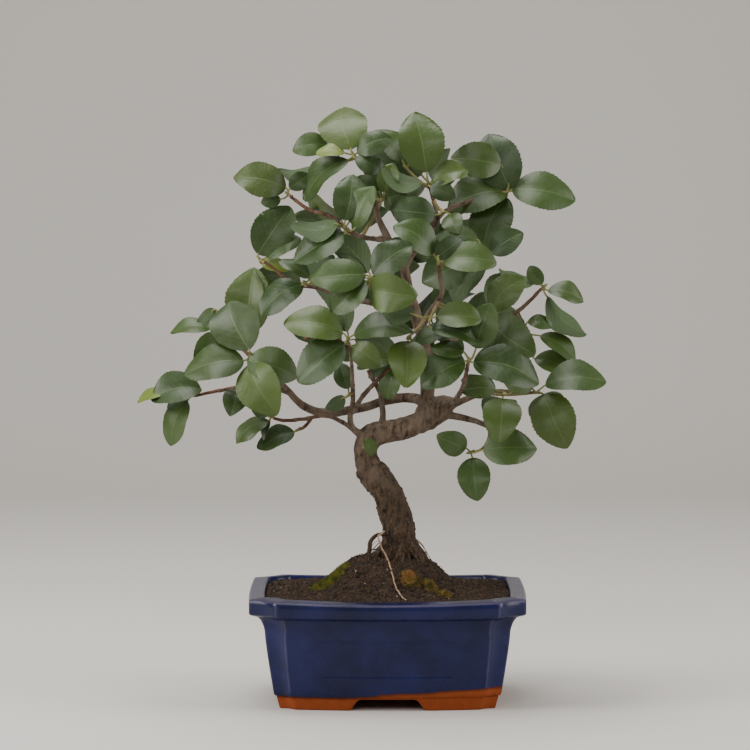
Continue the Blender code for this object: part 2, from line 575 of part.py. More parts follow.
def leaf_solid(stalk, foot, tip, out, width):
    """Points and faces of one leaf on its stalk: a thin, folded and drooping lens."""
    along = tip - foot
    length = along.length
    along.normalize()
    across = along.cross(out).normalized()
    out = across.cross(along)
    stalk_way = (foot - stalk).normalized()
    bend = (stalk_way + along).normalized()
    foot_side = (across - bend * across.dot(bend)).normalized()
    stalk_side = (foot_side - stalk_way * foot_side.dot(stalk_way)).normalized()
    points = []
    for centre, side, way in ((stalk, stalk_side, stalk_way), (foot, foot_side, bend)):
        lift = side.cross(way)
        points += [centre - PETIOLE_RADIUS * side, centre + PETIOLE_RADIUS * lift,
                   centre + PETIOLE_RADIUS * side, centre - PETIOLE_RADIUS * lift]
    for share, spread in ((0.2, 0.84), (0.47, 1.0), (0.78, 0.64)):
        middle = foot + along * (share * length) - out * (LEAF_DROOP * length * share * share)
        half = width / 2 * spread
        fold = out * (0.16 * half)
        points += [middle - across * half + fold, middle + out * (LEAF_THICKNESS / 2),
                   middle + across * half + fold, middle - out * (LEAF_THICKNESS / 2)]
    faces = rings_to_faces(5, 4)[:-1]
    last = 16
    faces += [(last + s, last + (s + 1) % 4, 20) for s in range(4)]
    points.append(tip - out * (LEAF_DROOP * length))
    return points, faces


def leaf_frame(foot, tip, seen_width, facing):
    """Tip, upper side and width of a leaf from how wide it looks: a narrow look is a roll about
    its length, a look broader than its shape is a lean towards or away from the front."""
    flat = tip - foot
    drawn = flat.length
    full = LEAF_SHAPE * drawn
    way = flat.normalized()
    if seen_width <= full:
        roll = math.acos(seen_width / full)
        sideways = way.cross(VIEWER)
        if sideways.z < 0:
            sideways = -sideways
        out = VIEWER * math.cos(roll) + sideways * math.sin(roll)
        return tip, out * facing, full
    length = seen_width / LEAF_SHAPE
    lean = math.sqrt(max(0.0, length * length - drawn * drawn))
    toward = 1.0 if facing > 0 and way.z < 0.5 else -1.0
    new_tip = tip + VIEWER * (lean * toward)
    out = (VIEWER * drawn - way * (lean * toward)).normalized()
    return new_tip, out * facing, seen_width


def turned(star, u, v, angle):
    """A place of the plan, turned about a shoot's middle: upwards from the outside."""
    angle = math.radians(angle if star[0] > FOOT_X else -angle)
    across, up = u - star[0], v - star[1]
    return (star[0] + across * math.cos(angle) - up * math.sin(angle),
            star[1] + across * math.sin(angle) + up * math.cos(angle))


def depth_steps():
    """0, then ever larger steps to the front and to the back, in millimetres."""
    yield 0.0
    for step in range(1, 30):
        yield -2.0 * step
        yield 2.0 * step


wood_near = object_tree(trunk, 0.0)
placed = [("trunk", object_tree(trunk, LEAF_ROOM))]
chance = random.Random(7)
planned = []

for shoot_name, twin, star, leaves in SHOOTS:
    for back in (False,) if twin is None else (False, True):
        turn = -1.0 if back else 1.0
        knot = at(star[0], star[1], star[2] * turn)
        foot_place = wood_near.find_nearest(knot)[0]
        start = foot_place + (knot - foot_place).normalized() * (2 * TOUCH)
        bar_name = ("rear_" if back else "shoot_") + shoot_name
        beyond = knot + (knot - start).normalized() * (0.8 * TWIG_RADIUS)
        bar = tube(bar_name, [start, start.lerp(knot, min(0.25, 2 / (knot - start).length)), beyond],
                   [0.3 * TWIG_RADIUS, TWIG_RADIUS, 0.85 * TWIG_RADIUS], 5)
        placed.append((bar_name, object_tree(bar, LEAF_ROOM)))
        planned.append((bar_name, twin if back else None, star, leaves, start, knot, bar))

for bar_name, twin, star, leaves, start, knot, bar in planned:
    back = twin is not None
    parts = []
    for number, (u0, v0, u1, v1, seen_width, facing) in enumerate(leaves):
        if back:
            u0, v0 = turned(star, u0, v0, twin)
            u1, v1 = turned(star, u1, v1, twin)
        stalk = knot.lerp(start, min(0.15 + 0.1 * number, (0.4 + number * 1.1) / (knot - start).length))
        shrink = chance.uniform(0.9, 1.0) if back else 1.0
        for shift in depth_steps():
            depth = star[2] + shift
            foot = at(u0, v0, depth)
            tip = at(u1, v1, depth)
            tip, out, width = leaf_frame(foot, tip, seen_width, facing)
            if back:
                foot = at(u0, v0, -depth)
                tip.y = foot.y - (tip.y - at(u0, v0, depth).y)
                tip = foot + (tip - foot) * shrink
                out = Vector((out.x, -out.y, out.z))
            points, faces = leaf_solid(stalk, foot, tip, out, width * shrink)
            tree = triangles_tree(points, faces, LEAF_ROOM)
            if not any(name != bar_name and tree.overlap(other) for name, other in placed):
                break
        placed.append((bar_name, tree))
        parts.append(new_object(bar_name + "_leaf", points, faces))
    combined(bar_name, LEAF, bar, parts)


# ---------------------------------------------------------------- frame

def bounds_of(objects):
    low = Vector((math.inf,) * 3)
    high = Vector((-math.inf,) * 3)
    for obj in objects:
        for vertex in obj.data.vertices:
            for axis in range(3):
                low[axis] = min(low[axis], vertex.co[axis])
                high[axis] = max(high[axis], vertex.co[axis])
    return low, high


pieces = [obj for obj in bpy.context.scene.objects if obj.type == "MESH"]
low, high = bounds_of(pieces)
base = bpy.data.objects.new("base", None)
bpy.context.scene.collection.objects.link(base)
for piece in pieces:
    piece.parent = base
base.location = (-(low.x + high.x) / 2, -(low.y + high.y) / 2, -low.z)
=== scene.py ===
# %% [markdown]
# # A small bonsai in a glazed pot
# This file dresses a plain, measured model of a bonsai. The plain model arrives as the frame: one
# closed solid for the pot, the soil, the wood and each leafy shoot, all in metres with +Z up.
# Every cell below makes one piece or one finish of the real thing, and says how and why.

# %% Load the frame
import math
import random

import bmesh
import bpy
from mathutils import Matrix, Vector, kdtree, noise
from mathutils.bvhtree import BVHTree

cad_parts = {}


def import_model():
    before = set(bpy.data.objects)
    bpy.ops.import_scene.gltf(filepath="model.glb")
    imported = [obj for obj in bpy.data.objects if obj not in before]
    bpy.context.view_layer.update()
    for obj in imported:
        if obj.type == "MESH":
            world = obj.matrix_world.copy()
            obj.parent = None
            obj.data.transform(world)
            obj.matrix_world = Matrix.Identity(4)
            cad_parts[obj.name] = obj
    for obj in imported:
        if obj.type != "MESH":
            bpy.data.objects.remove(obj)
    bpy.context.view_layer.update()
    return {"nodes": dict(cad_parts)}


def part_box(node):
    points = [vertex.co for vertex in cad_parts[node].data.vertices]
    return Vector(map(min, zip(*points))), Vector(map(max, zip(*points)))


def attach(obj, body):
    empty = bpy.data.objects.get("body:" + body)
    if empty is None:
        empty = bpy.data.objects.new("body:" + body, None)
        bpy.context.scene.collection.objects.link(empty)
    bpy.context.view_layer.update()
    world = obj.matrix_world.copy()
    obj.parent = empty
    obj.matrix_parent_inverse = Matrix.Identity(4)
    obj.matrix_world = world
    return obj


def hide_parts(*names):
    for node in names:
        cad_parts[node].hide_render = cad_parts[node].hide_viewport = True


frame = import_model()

MM = 0.001
print("frame:", len(frame["nodes"]), "nodes")

# %% [markdown]
# ## Where things are
# The pot's middle is the natural zero for a tree planted in it, so all plans below are drawn in
# millimetres from there. `world` turns such a point into a place in the frame. The frame itself
# tells where the pot stands, so nothing has to be fitted by eye.

# %% The pot's middle
pot_low, pot_high = (Vector(corner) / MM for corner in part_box("pot"))
POT_MIDDLE = Vector(((pot_low.x + pot_high.x) / 2, (pot_low.y + pot_high.y) / 2, 0))
POT_WIDTH = pot_high.x - pot_low.x
POT_DEPTH = pot_high.y - pot_low.y
POT_HEIGHT = pot_high.z


def world(point):
    return (Vector(point) + POT_MIDDLE) * MM


print("pot:", round(POT_WIDTH, 1), "x", round(POT_DEPTH, 1), "x", round(POT_HEIGHT, 1), "mm")

# %% [markdown]
# ## Camera, floor and light
# A long lens from two metres away keeps the pot's sides nearly parallel, as in a product picture.
# The floor and the wall behind are one pale sheet with a round fold, so no horizon line cuts
# through the leaves. Two large soft lamps at the sides rake over the glossy leaves and the cut
# corners of the pot, and a weak one above lifts the top of the crown.

# %% Camera
EYE_DISTANCE = 2200.0
EYE_HEIGHT = 370.5
PLANNED_EYE = 369.0  # the eye's height in the tree's plan
EYE_X = -7.0
LENS = 187.9
TILT = math.radians(90 - 4.85)

camera_data = bpy.data.cameras.new("camera")
camera_data.lens = LENS
camera_data.sensor_width = 36.0
camera_data.clip_end = 20.0
camera = bpy.data.objects.new("camera", camera_data)
camera.location = world((EYE_X, -EYE_DISTANCE, EYE_HEIGHT))
camera.rotation_euler = (TILT, 0, 0)
bpy.context.scene.collection.objects.link(camera)
bpy.context.scene.camera = camera

# %% Mesh helper
def new_piece(name, points, faces, materials, smooth=True):
    """A mesh object from points in millimetres from the pot's middle."""
    mesh = bpy.data.meshes.new(name)
    mesh.from_pydata([world(point) for point in points], [], faces)
    for item in materials:
        mesh.materials.append(item)
    if smooth:
        mesh.shade_smooth()
    mesh.update()
    piece = bpy.data.objects.new(name, mesh)
    bpy.context.scene.collection.objects.link(piece)
    return piece


def ring_faces(rings, sides):
    """Quads between rings that follow each other."""
    faces = []
    for r in range(rings - 1):
        low = r * sides
        high = low + sides
        for s in range(sides):
            t = (s + 1) % sides
            faces.append((low + s, low + t, high + t, high + s))
    return faces


# %% [markdown]
# ## Writing a material as sums
# Node trees are easier to read as formulas. `Val` wraps one socket, and `a * 2 + b` on it adds
# the Math nodes. `Finish` holds one material. Its one method `node` adds any other node: first
# the settings, then the inputs by name.

# %% Formulas for materials
class Val:
    def __init__(self, finish, socket):
        self.finish = finish
        self.socket = socket

    def math(self, operation, *others):
        inputs = dict(enumerate((self, *others)))
        return self.finish.node("ShaderNodeMath", {"operation": operation}, inputs)

    def __add__(self, other):
        return self.math("ADD", other)

    def __sub__(self, other):
        return self.math("SUBTRACT", other)

    def __rsub__(self, other):
        return self.finish.node("ShaderNodeMath", {"operation": "SUBTRACT"}, {0: other, 1: self})

    def __mul__(self, other):
        return self.math("MULTIPLY", other)

    __radd__ = __add__
    __rmul__ = __mul__

    def between(self, low, high):
        """0 below low, 1 above high, and a smooth rise between."""
        ends = {"From Min": low, "From Max": high, "Value": self}
        return self.finish.node("ShaderNodeMapRange", {"interpolation_type": "SMOOTHSTEP"}, ends)


class Finish:
    def __init__(self, name, **constants):
        self.material = bpy.data.materials.new(name)
        self.material.use_nodes = True
        self.tree = self.material.node_tree
        self.shader = self.tree.nodes["Principled BSDF"]
        for socket, value in constants.items():
            self.shader.inputs[socket.replace("_", " ")].default_value = value

    def feed(self, socket, value):
        if isinstance(value, Val):
            self.tree.links.new(value.socket, socket)
        elif isinstance(value, tuple) and len(socket.default_value) == 4:
            socket.default_value = (*value[:3], 1.0)
        else:
            socket.default_value = value

    def node(self, kind, settings=None, inputs=None, out=0):
        made = self.tree.nodes.new(kind)
        for key, value in (settings or {}).items():
            setattr(made, key, value)
        for key, value in (inputs or {}).items():
            self.feed(made.inputs[key], value)
        return Val(self, made.outputs[out])

    def place(self):
        return self.node("ShaderNodeTexCoord", out="Object")

    def axes(self, vector):
        return [self.node("ShaderNodeSeparateXYZ", None, {0: vector}, out) for out in "XYZ"]

    def attribute(self, name):
        return self.node("ShaderNodeAttribute", {"attribute_name": name}, None, "Fac")

    def noise(self, vector, scale, detail=4.0, roughness=0.55):
        inputs = {"Vector": vector, "Scale": scale, "Detail": detail, "Roughness": roughness}
        return self.node("ShaderNodeTexNoise", None, inputs)

    def mix(self, factor, first, second):
        inputs = {0: factor, 6: first, 7: second}
        return self.node("ShaderNodeMix", {"data_type": "RGBA"}, inputs, 2)

    def bump(self, height, strength, distance):
        inputs = {"Strength": strength, "Distance": distance, "Height": height}
        return self.node("ShaderNodeBump", None, inputs)

    def set(self, **sockets):
        for socket, value in sockets.items():
            self.feed(self.shader.inputs[socket.replace("_", " ")], value)
        return self.material


# %% Floor and backdrop
FLOOR_COLOUR = (0.62, 0.60, 0.57)
FOLD_RADIUS = 500.0
FLOOR_NEAR = -2600.0
WALL_AT = 1500.0
WALL_HEIGHT = 2600.0
FLOOR_HALF = 2600.0


def make_floor():
    """One sheet: floor, round fold, wall."""
    section = [(FLOOR_NEAR, 0.0)]
    for step in range(13):
        angle = math.pi / 2 * step / 12
        section.append((WALL_AT - FOLD_RADIUS + FOLD_RADIUS * math.sin(angle),
                        FOLD_RADIUS - FOLD_RADIUS * math.cos(angle)))
    section.append((WALL_AT, WALL_HEIGHT))
    points = [(x, y, z) for y, z in section for x in (-FLOOR_HALF, FLOOR_HALF)]
    faces = [(2 * i, 2 * i + 1, 2 * i + 3, 2 * i + 2) for i in range(len(section) - 1)]
    paper = Finish("floor_paper", Roughness=0.9)
    grain = paper.noise(paper.place(), 3.0)
    shade = paper.mix(grain * 0.25, FLOOR_COLOUR, tuple(0.9 * c for c in FLOOR_COLOUR))
    return new_piece("floor", points, faces, [paper.set(Base_Color=shade)])


floor = make_floor()
print("floor:", len(floor.data.polygons), "faces")

# %% Lamps
def lamp(name, place, size, power, colour):
    data = bpy.data.lights.new(name, "AREA")
    data.shape = "RECTANGLE"
    data.size, data.size_y = size
    data.energy = power
    data.color = colour
    item = bpy.data.objects.new(name, data)
    item.location = world(place)
    aim = world((0, 0, 180)) - item.location
    item.rotation_euler = aim.to_track_quat("-Z", "Y").to_euler()
    bpy.context.scene.collection.objects.link(item)


lamp("lamp_left", (-950, -350, 620), (0.5, 0.9), 13.0, (1.0, 0.97, 0.93))
lamp("lamp_right", (950, -250, 520), (0.5, 0.9), 9.0, (1.0, 0.97, 0.93))
lamp("lamp_top", (-150, 150, 1300), (0.8, 0.6), 13.0, (1.0, 0.98, 0.95))
lamp("lamp_front", (-350, -1500, 900), (0.8, 0.5), 7.0, (1.0, 0.97, 0.94))

sky = bpy.data.worlds.new("sky")
sky.use_nodes = True
sky.node_tree.nodes["Background"].inputs["Color"].default_value = (1.0, 0.98, 0.95, 1.0)
sky.node_tree.nodes["Background"].inputs["Strength"].default_value = 0.22
bpy.context.scene.world = sky

# %% [markdown]
# ## The pot
# The real pot is pressed clay with cut, slightly hollowed corners, a thick rim over a cove, a
# faint framed window on its long sides, and a foot ring opened by four arches. It could be cut
# from a box with Booleans, but a loft is closer to how the clay flows: one plan outline is drawn
# at many heights, and the outlines are skinned. The arches need no cutting: where an arch is,
# the foot's lower outlines are simply lifted. Only the two drain holes are drilled afterwards.

# %% The pot's plan and profile
CORNER = 16.0
SIDE_BOW = 4.0
END_BOW = 1.0
FLUTE = 0.9
LONG_STEPS = 56
FLUTE_STEPS = 6
RIM_EDGE = POT_HEIGHT - 1.0
BAND_FOOT = RIM_EDGE - 9.0
COVE_FOOT = BAND_FOOT - 12.0
COVE_INSET = 8.8
BODY_TAPER = 4.6
BODY_FOOT = 7.5
FOOT_TOP_INSET = COVE_INSET + BODY_TAPER + 1.6
FLOOR_TOP = BODY_FOOT + 6.0
ARCH_TOP = 6.6
ARCHES = (15.5, 21.5), (12.0, 18.0)  # half width at the top and at the ground: long, short sides
WINDOW = (46.0, 18.0, 41.0, 6.5)  # half width, foot, head and notch radius of the framed window
WINDOW_DEPTH = 0.6
RIM_SAG = 1.2


def smooth_step(low, high, value):
    share = min(1.0, max(0.0, (value - low) / (high - low)))
    return share * share * (3 - 2 * share)


def window_depth(across, z):
    """How deep the framed window is pressed in at a place on a long side."""
    half, foot, head, notch = WINDOW
    inside = min(half - abs(across), z - foot, head - z)
    corner = min(math.hypot(half - abs(across), z - end) for end in (foot, head))
    return WINDOW_DEPTH * smooth_step(0.0, 2.6, min(inside, corner - notch))


def outline(inset, corner, z, relief=0.0, scale=1.0, arched=False, sag=0.0):
    """The plan at one height, and for each point how much it lies on a corner's ridge."""
    half_x = POT_WIDTH / 2 - inset
    half_y = POT_DEPTH / 2 - inset
    points = []
    ridges = []
    for quarter in range(4):
        long_side = quarter % 2 == 0
        half_long, half_out = (half_x, half_y) if long_side else (half_y, half_x)
        bow, next_bow = (SIDE_BOW, END_BOW) if long_side else (END_BOW, SIDE_BOW)
        turn = quarter * math.pi / 2
        end = half_long - corner
        plan = []
        for step in range(LONG_STEPS + 1):
            share = 2 * step / LONG_STEPS - 1
            across = share * end
            out = half_out - bow * share * share
            if long_side:
                out -= relief * window_depth(across, z)
            height = z
            if arched:
                arch_top, arch_foot = ARCHES[0 if long_side else 1]
                height = max(z, ARCH_TOP * (1 - smooth_step(arch_top, arch_foot, abs(across))))
            height -= sag * (1 - share * share) * (1.0 if long_side else 0.3)
            plan.append((across, -out, height, 1.0 if step in (0, LONG_STEPS) else 0.0))
        last_x, last_y = plan[-1][:2]
        next_x, next_y = half_long - next_bow, -(half_out - corner)
        for step in range(1, FLUTE_STEPS):
            share = step / FLUTE_STEPS
            hollow = FLUTE * math.sin(math.pi * share)
            plan.append((last_x + (next_x - last_x) * share - hollow,
                         last_y + (next_y - last_y) * share + hollow, z, 0.0))
        for x, y, height, ridge in plan:
            points.append((scale * (x * math.cos(turn) - y * math.sin(turn)),
                           scale * (x * math.sin(turn) + y * math.cos(turn)), height))
            ridges.append(ridge)
    return points, ridges


# Inset from the rim's outer edge, corner, height, window relief, and how much paler the glaze is painted
# there (partly thin glaze, partly painted highlight)
def pot_profile():
    rows = [(COVE_INSET + 0.8 * BODY_TAPER + 6.5, CORNER - 6, FLOOR_TOP, 0, 0)]
    for step in range(1, 8):
        share = step / 8
        rows.append((COVE_INSET + 0.8 * BODY_TAPER + 6.5 - share * 6.3, CORNER - 6 + share * 1.5,
                     FLOOR_TOP + share * (BAND_FOOT - 4 - FLOOR_TOP), 0, 0))
    rows += [(12.7, CORNER - 4.5, BAND_FOOT - 4, 0, 0), (10.2, CORNER - 3.6, BAND_FOOT + 3, 0, 0),
             (9.0, CORNER - 3.2, POT_HEIGHT - 1.4, 0, 0), (8.6, CORNER - 3.1, POT_HEIGHT - 0.5, 0, 0.2),
             (7.9, CORNER - 3, POT_HEIGHT - 0.1, 0, 0.5), (7.0, CORNER - 2.8, POT_HEIGHT, 0, 0.3),
             (4.0, CORNER - 1.5, POT_HEIGHT - 0.7, 0, 0), (1.5, CORNER - 0.4, RIM_EDGE + 0.3, 0, 0.3),
             (0.7, CORNER, RIM_EDGE, 0, 1), (0.25, CORNER, RIM_EDGE - 0.35, 0, 1),
             (0.0, CORNER, RIM_EDGE - 1.0, 0, 0.4), (0.0, CORNER, RIM_EDGE - 3.5, 0, 0),
             (0.0, CORNER, BAND_FOOT + 1.4, 0, 0), (0.25, CORNER, BAND_FOOT + 0.7, 0, 0.2),
             (0.9, CORNER, BAND_FOOT + 0.15, 0, 0.1), (2.2, CORNER - 0.6, BAND_FOOT - 0.3, 0, 0)]
    for step in range(7):
        share = step / 6
        rows.append((4.2 + 4.6 * math.sin(share * math.pi / 2), CORNER - 1.4 - 2.6 * share,
                     BAND_FOOT - 0.9 - 11.1 * (1 - math.cos(share * math.pi / 2)) ** 0.8, 1, 0))
    for step in range(1, 40):
        share = step / 40
        rows.append((COVE_INSET + BODY_TAPER * share ** 1.15, CORNER - 4 - 2 * share,
                     COVE_FOOT + (BODY_FOOT + 2 - COVE_FOOT) * share, 1, 0))
    last = COVE_INSET + BODY_TAPER
    rows += [(last, CORNER - 6, BODY_FOOT + 2, 0, 0), (last + 0.3, CORNER - 6, BODY_FOOT + 0.8, 0, 0),
             (last + 0.9, CORNER - 6, BODY_FOOT + 0.1, 0, 0),
             (last + 1.7, CORNER - 6.2, BODY_FOOT - 0.3, 0, 0)]
    return rows


def foot_profile():
    rows = [(FOOT_TOP_INSET + 0.1, 6.9), (FOOT_TOP_INSET + 0.2, 6.5)]
    for z in (5.0, 3.4, 1.8, 0.9, 0.35):
        rows.append((FOOT_TOP_INSET + 0.2 + 1.6 * (1 - z / 6.5), z))
    rows += [(FOOT_TOP_INSET + 2.2, 0.0), (FOOT_TOP_INSET + 6.0, 0.0), (FOOT_TOP_INSET + 11.8, 0.0),
             (FOOT_TOP_INSET + 12.4, 0.6), (FOOT_TOP_INSET + 11.6, 5.0), (FOOT_TOP_INSET + 11.4, 7.0)]
    return rows


print("pot profile:", len(pot_profile()) + len(foot_profile()), "outlines")

# %% [markdown]
# ### Glaze and bare clay
# Cobalt glaze is nearly black where it is thick and flat. Over the rim's edge and the corner
# ridges it is painted as a paler, browner line: partly where the glaze runs thin, partly a painted
# highlight. The loft wrote an `edge` value on those points, so the material only has to read it.
# Below a wavy line the clay is left bare: orange earthenware, dull beside the glass-like coat above.

# %% Glaze
def glaze_finish():
    glaze = Finish("blue_glaze", Coat_Roughness=0.15, Coat_IOR=1.45, Specular_IOR_Level=0.15)
    place = glaze.place()
    x, y, z = glaze.axes(place)
    line_noise = glaze.noise(place, 55.0, 3.0)
    middle = POT_MIDDLE * MM
    climb = (x - middle.x).between(-0.035, 0.075)
    line = 0.0078 + climb * 0.0055 + (line_noise - 0.5) * 0.004
    glazed = (z - line).between(-0.00025, 0.0003)
    cloud = glaze.noise(place, 38.0, 5.0, 0.6)
    speck = glaze.noise(place, 900.0, 2.0, 0.7)
    # Paler along the rim's edge and the corner ridges: partly thin glaze breaking over them, partly a
    # painted highlight.
    edge = glaze.attribute("edge")
    thin = (edge * 0.9 + (cloud - 0.5) * edge * 1.2).between(0.25, 0.95)
    deep = glaze.mix(cloud.between(0.3, 0.7), (0.003, 0.005, 0.030), (0.008, 0.011, 0.066))
    mottled = glaze.mix(speck.between(0.52, 0.75) * 0.25, deep, (0.02, 0.032, 0.14))
    thin_glaze_and_highlight_colour = glaze.mix(thin * 0.55, mottled, (0.10, 0.085, 0.15))
    clay_grain = glaze.noise(place, 260.0, 6.0, 0.7)
    clay = glaze.mix(clay_grain, (0.17, 0.034, 0.008), (0.30, 0.066, 0.018))
    damp = glaze.mix((z - line).between(-0.0022, 0.0), clay, (0.09, 0.020, 0.008))
    colour = glaze.mix(glazed, damp, thin_glaze_and_highlight_colour)
    waves = glaze.noise(place, 70.0, 2.0) * 0.6 + glazed * 0.8 + speck * 0.05
    grit = clay_grain * (1 - glazed)
    normal = glaze.bump(waves + grit * 0.5, 0.35, 0.0008)
    rough = 0.75 - glazed * 0.42 + (speck - 0.5) * 0.1
    return glaze.set(Base_Color=colour, Roughness=rough, Coat_Weight=glazed * 0.28, Normal=normal)


GLAZE = glaze_finish()

# %% Build the pot
DRAIN_RADIUS = 8.0
DRAIN_SPACING = 54.0
DRUM_SIDES = 32


def drill(pot):
    """Opens the two drain holes through the pot's floor."""
    sides = DRUM_SIDES
    points = []
    faces = []
    for side in (-1, 1):
        for z in (BODY_FOOT - 5, FLOOR_TOP + 3):
            for step in range(sides):
                turn = 2 * math.pi * step / sides
                points.append((side * DRAIN_SPACING / 2 + DRAIN_RADIUS * math.cos(turn),
                               DRAIN_RADIUS * math.sin(turn), z))
        first = len(points) - 2 * sides
        drum = ring_faces(2, sides)
        drum += [tuple(reversed(range(sides))), tuple(range(sides, 2 * sides))]
        faces += [tuple(first + corner for corner in face) for face in drum]
    drums = new_piece("drain_drums", points, faces, [GLAZE])
    holes = pot.modifiers.new("holes", "BOOLEAN")
    holes.operation = "DIFFERENCE"
    holes.solver = "EXACT"
    holes.object = drums
    graph = bpy.context.evaluated_depsgraph_get()
    drilled = bpy.data.meshes.new_from_object(pot.evaluated_get(graph))
    pot.modifiers.remove(holes)
    bpy.data.objects.remove(drums)
    pot.data = drilled


def make_pot():
    points = []
    thin_glaze_and_highlight_shares = []
    rows = 0
    for inset, corner, z, relief, thin_glaze_and_highlight in pot_profile():
        sag = RIM_SAG * smooth_step(BAND_FOOT - 3, RIM_EDGE - 1, z)
        ring, ridges = outline(inset, corner, z, relief, sag=sag)
        points += ring
        # How much paler the glaze is painted at each point: partly thin glaze, partly a painted highlight on
        # the rim and corner ridges.
        near_corner = 0.75 if z > BODY_FOOT + 2 and inset < 14 else 0.0
        thin_glaze_and_highlight_shares += [max(thin_glaze_and_highlight, ridge * near_corner) for ridge in ridges]
        rows += 1
    for inset, z in foot_profile():
        ring, ridges = outline(inset, CORNER - 6.5, z, arched=True)
        points += ring
        thin_glaze_and_highlight_shares += [0.0] * len(ring)
        rows += 1
    sides = len(ridges)
    faces = [tuple(reversed(face)) for face in ring_faces(rows, sides)]
    faces.append(tuple(range(sides)))
    faces.append(tuple(reversed(range((rows - 1) * sides, rows * sides))))
    pot = new_piece("pot_fine", points, faces, [GLAZE])
    thin_glaze_and_highlight = pot.data.attributes.new("edge", "FLOAT", "POINT")
    thin_glaze_and_highlight.data.foreach_set("value", thin_glaze_and_highlight_shares)
    drill(pot)
    pot.data.set_sharp_from_angle(angle=math.radians(50))
    return pot


pot = make_pot()
print("pot:", len(pot.data.polygons), "faces")

# %% [markdown]
# ## Scattering with Geometry Nodes
# Soil crumbs, straw and moss tips repeat hundreds of times. One node tree does them all: it
# spreads points over the upward faces of a surface, puts a small thing on each, turns and
# sizes it at random with a fixed seed, then makes the copies real and gives them their material.
# Each use sets the tree's named inputs and reads the result back as a plain mesh.

# %% The scatter tree
def scatter_tree():
    tree = bpy.data.node_groups.new("scatter", "GeometryNodeTree")
    inputs = [("Surface", "NodeSocketGeometry"), ("Thing", "NodeSocketObject"),
              ("Density", "NodeSocketFloat"), ("Smallest", "NodeSocketFloat"),
              ("Largest", "NodeSocketFloat"), ("Lean", "NodeSocketFloat"),
              ("Facing Up", "NodeSocketFloat"), ("Seed", "NodeSocketInt"),
              ("Material", "NodeSocketMaterial")]
    for name, kind in inputs:
        tree.interface.new_socket(name, in_out="INPUT", socket_type=kind)
    tree.interface.new_socket("Result", in_out="OUTPUT", socket_type="NodeSocketGeometry")

    def add(kind, **links):
        node = tree.nodes.new(kind)
        for name, value in links.items():
            socket = node.inputs[name.replace("_", " ")]
            if isinstance(value, bpy.types.NodeSocket):
                tree.links.new(value, socket)
            else:
                socket.default_value = value
        return node

    given = add("NodeGroupInput").outputs
    normal = add("GeometryNodeInputNormal").outputs[0]
    height = add("ShaderNodeSeparateXYZ", Vector=normal).outputs["Z"]
    upward = tree.nodes.new("FunctionNodeCompare")
    tree.links.new(height, upward.inputs[0])
    tree.links.new(given["Facing Up"], upward.inputs[1])
    spread = add("GeometryNodeDistributePointsOnFaces", Mesh=given["Surface"], Selection=upward.outputs[0],
                 Density=given["Density"], Seed=given["Seed"])
    size = add("FunctionNodeRandomValue", Seed=given["Seed"])
    tree.links.new(given["Smallest"], size.inputs[2])
    tree.links.new(given["Largest"], size.inputs[3])
    thing = add("GeometryNodeObjectInfo", Object=given["Thing"])
    copies = add("GeometryNodeInstanceOnPoints", Points=spread.outputs["Points"],
                 Instance=thing.outputs["Geometry"], Rotation=spread.outputs["Rotation"],
                 Scale=size.outputs[1])
    turn = tree.nodes.new("FunctionNodeRandomValue")
    turn.data_type = "FLOAT_VECTOR"
    lean = add("ShaderNodeCombineXYZ", X=given["Lean"], Y=given["Lean"], Z=math.pi)
    back = tree.nodes.new("ShaderNodeVectorMath")
    back.operation = "SCALE"
    tree.links.new(lean.outputs[0], back.inputs[0])
    back.inputs["Scale"].default_value = -1.0
    tree.links.new(back.outputs[0], turn.inputs[0])
    tree.links.new(lean.outputs[0], turn.inputs[1])
    tree.links.new(given["Seed"], turn.inputs["Seed"])
    turned = add("GeometryNodeRotateInstances", Instances=copies.outputs[0], Rotation=turn.outputs[0])
    real = add("GeometryNodeRealizeInstances", Geometry=turned.outputs[0])
    dressed = add("GeometryNodeSetMaterial", Geometry=real.outputs[0], Material=given["Material"])
    result = tree.nodes.new("NodeGroupOutput")
    tree.links.new(dressed.outputs[0], result.inputs[0])
    return tree


SCATTER = scatter_tree()


def grown(name, tree, surface, settings):
    """A node tree's result on an object, as a plain mesh object."""
    modifier = surface.modifiers.new("grow", "NODES")
    modifier.node_group = tree
    for item in tree.interface.items_tree:
        if item.in_out == "INPUT" and item.name in settings:
            modifier[item.identifier] = settings[item.name]
    graph = bpy.context.evaluated_depsgraph_get()
    mesh = bpy.data.meshes.new_from_object(surface.evaluated_get(graph))
    surface.modifiers.remove(modifier)
    mesh.name = name
    piece = bpy.data.objects.new(name, mesh)
    bpy.context.scene.collection.objects.link(piece)
    return piece


def scattered(name, surface, **settings):
    return grown(name, SCATTER, surface, settings)


def joined(name, pieces):
    """Several mesh objects made one, each keeping its materials."""
    with bpy.context.temp_override(active_object=pieces[0], selected_editable_objects=pieces,
                                   selected_objects=pieces, object=pieces[0]):
        bpy.ops.object.join()
    pieces[0].name = name
    return pieces[0]


def small_thing(name, points, faces):
    """A seed mesh for scattering, around its own foot. It stays out of the scene."""
    mesh = bpy.data.meshes.new(name)
    mesh.from_pydata([Vector(point) * MM for point in points], [], faces)
    mesh.update()
    thing = bpy.data.objects.new(name, mesh)
    return thing


print("scatter tree:", len(SCATTER.nodes), "nodes")

# %% [markdown]
# ## Soil
# The soil is a broad mound of dark, fibrous peat that stays a little under the rim. A smooth
# mound would look like a cushion, so the surface is first roughened with noise of two sizes, then
# crumbs, chips of bark and bits of straw are scattered over it.

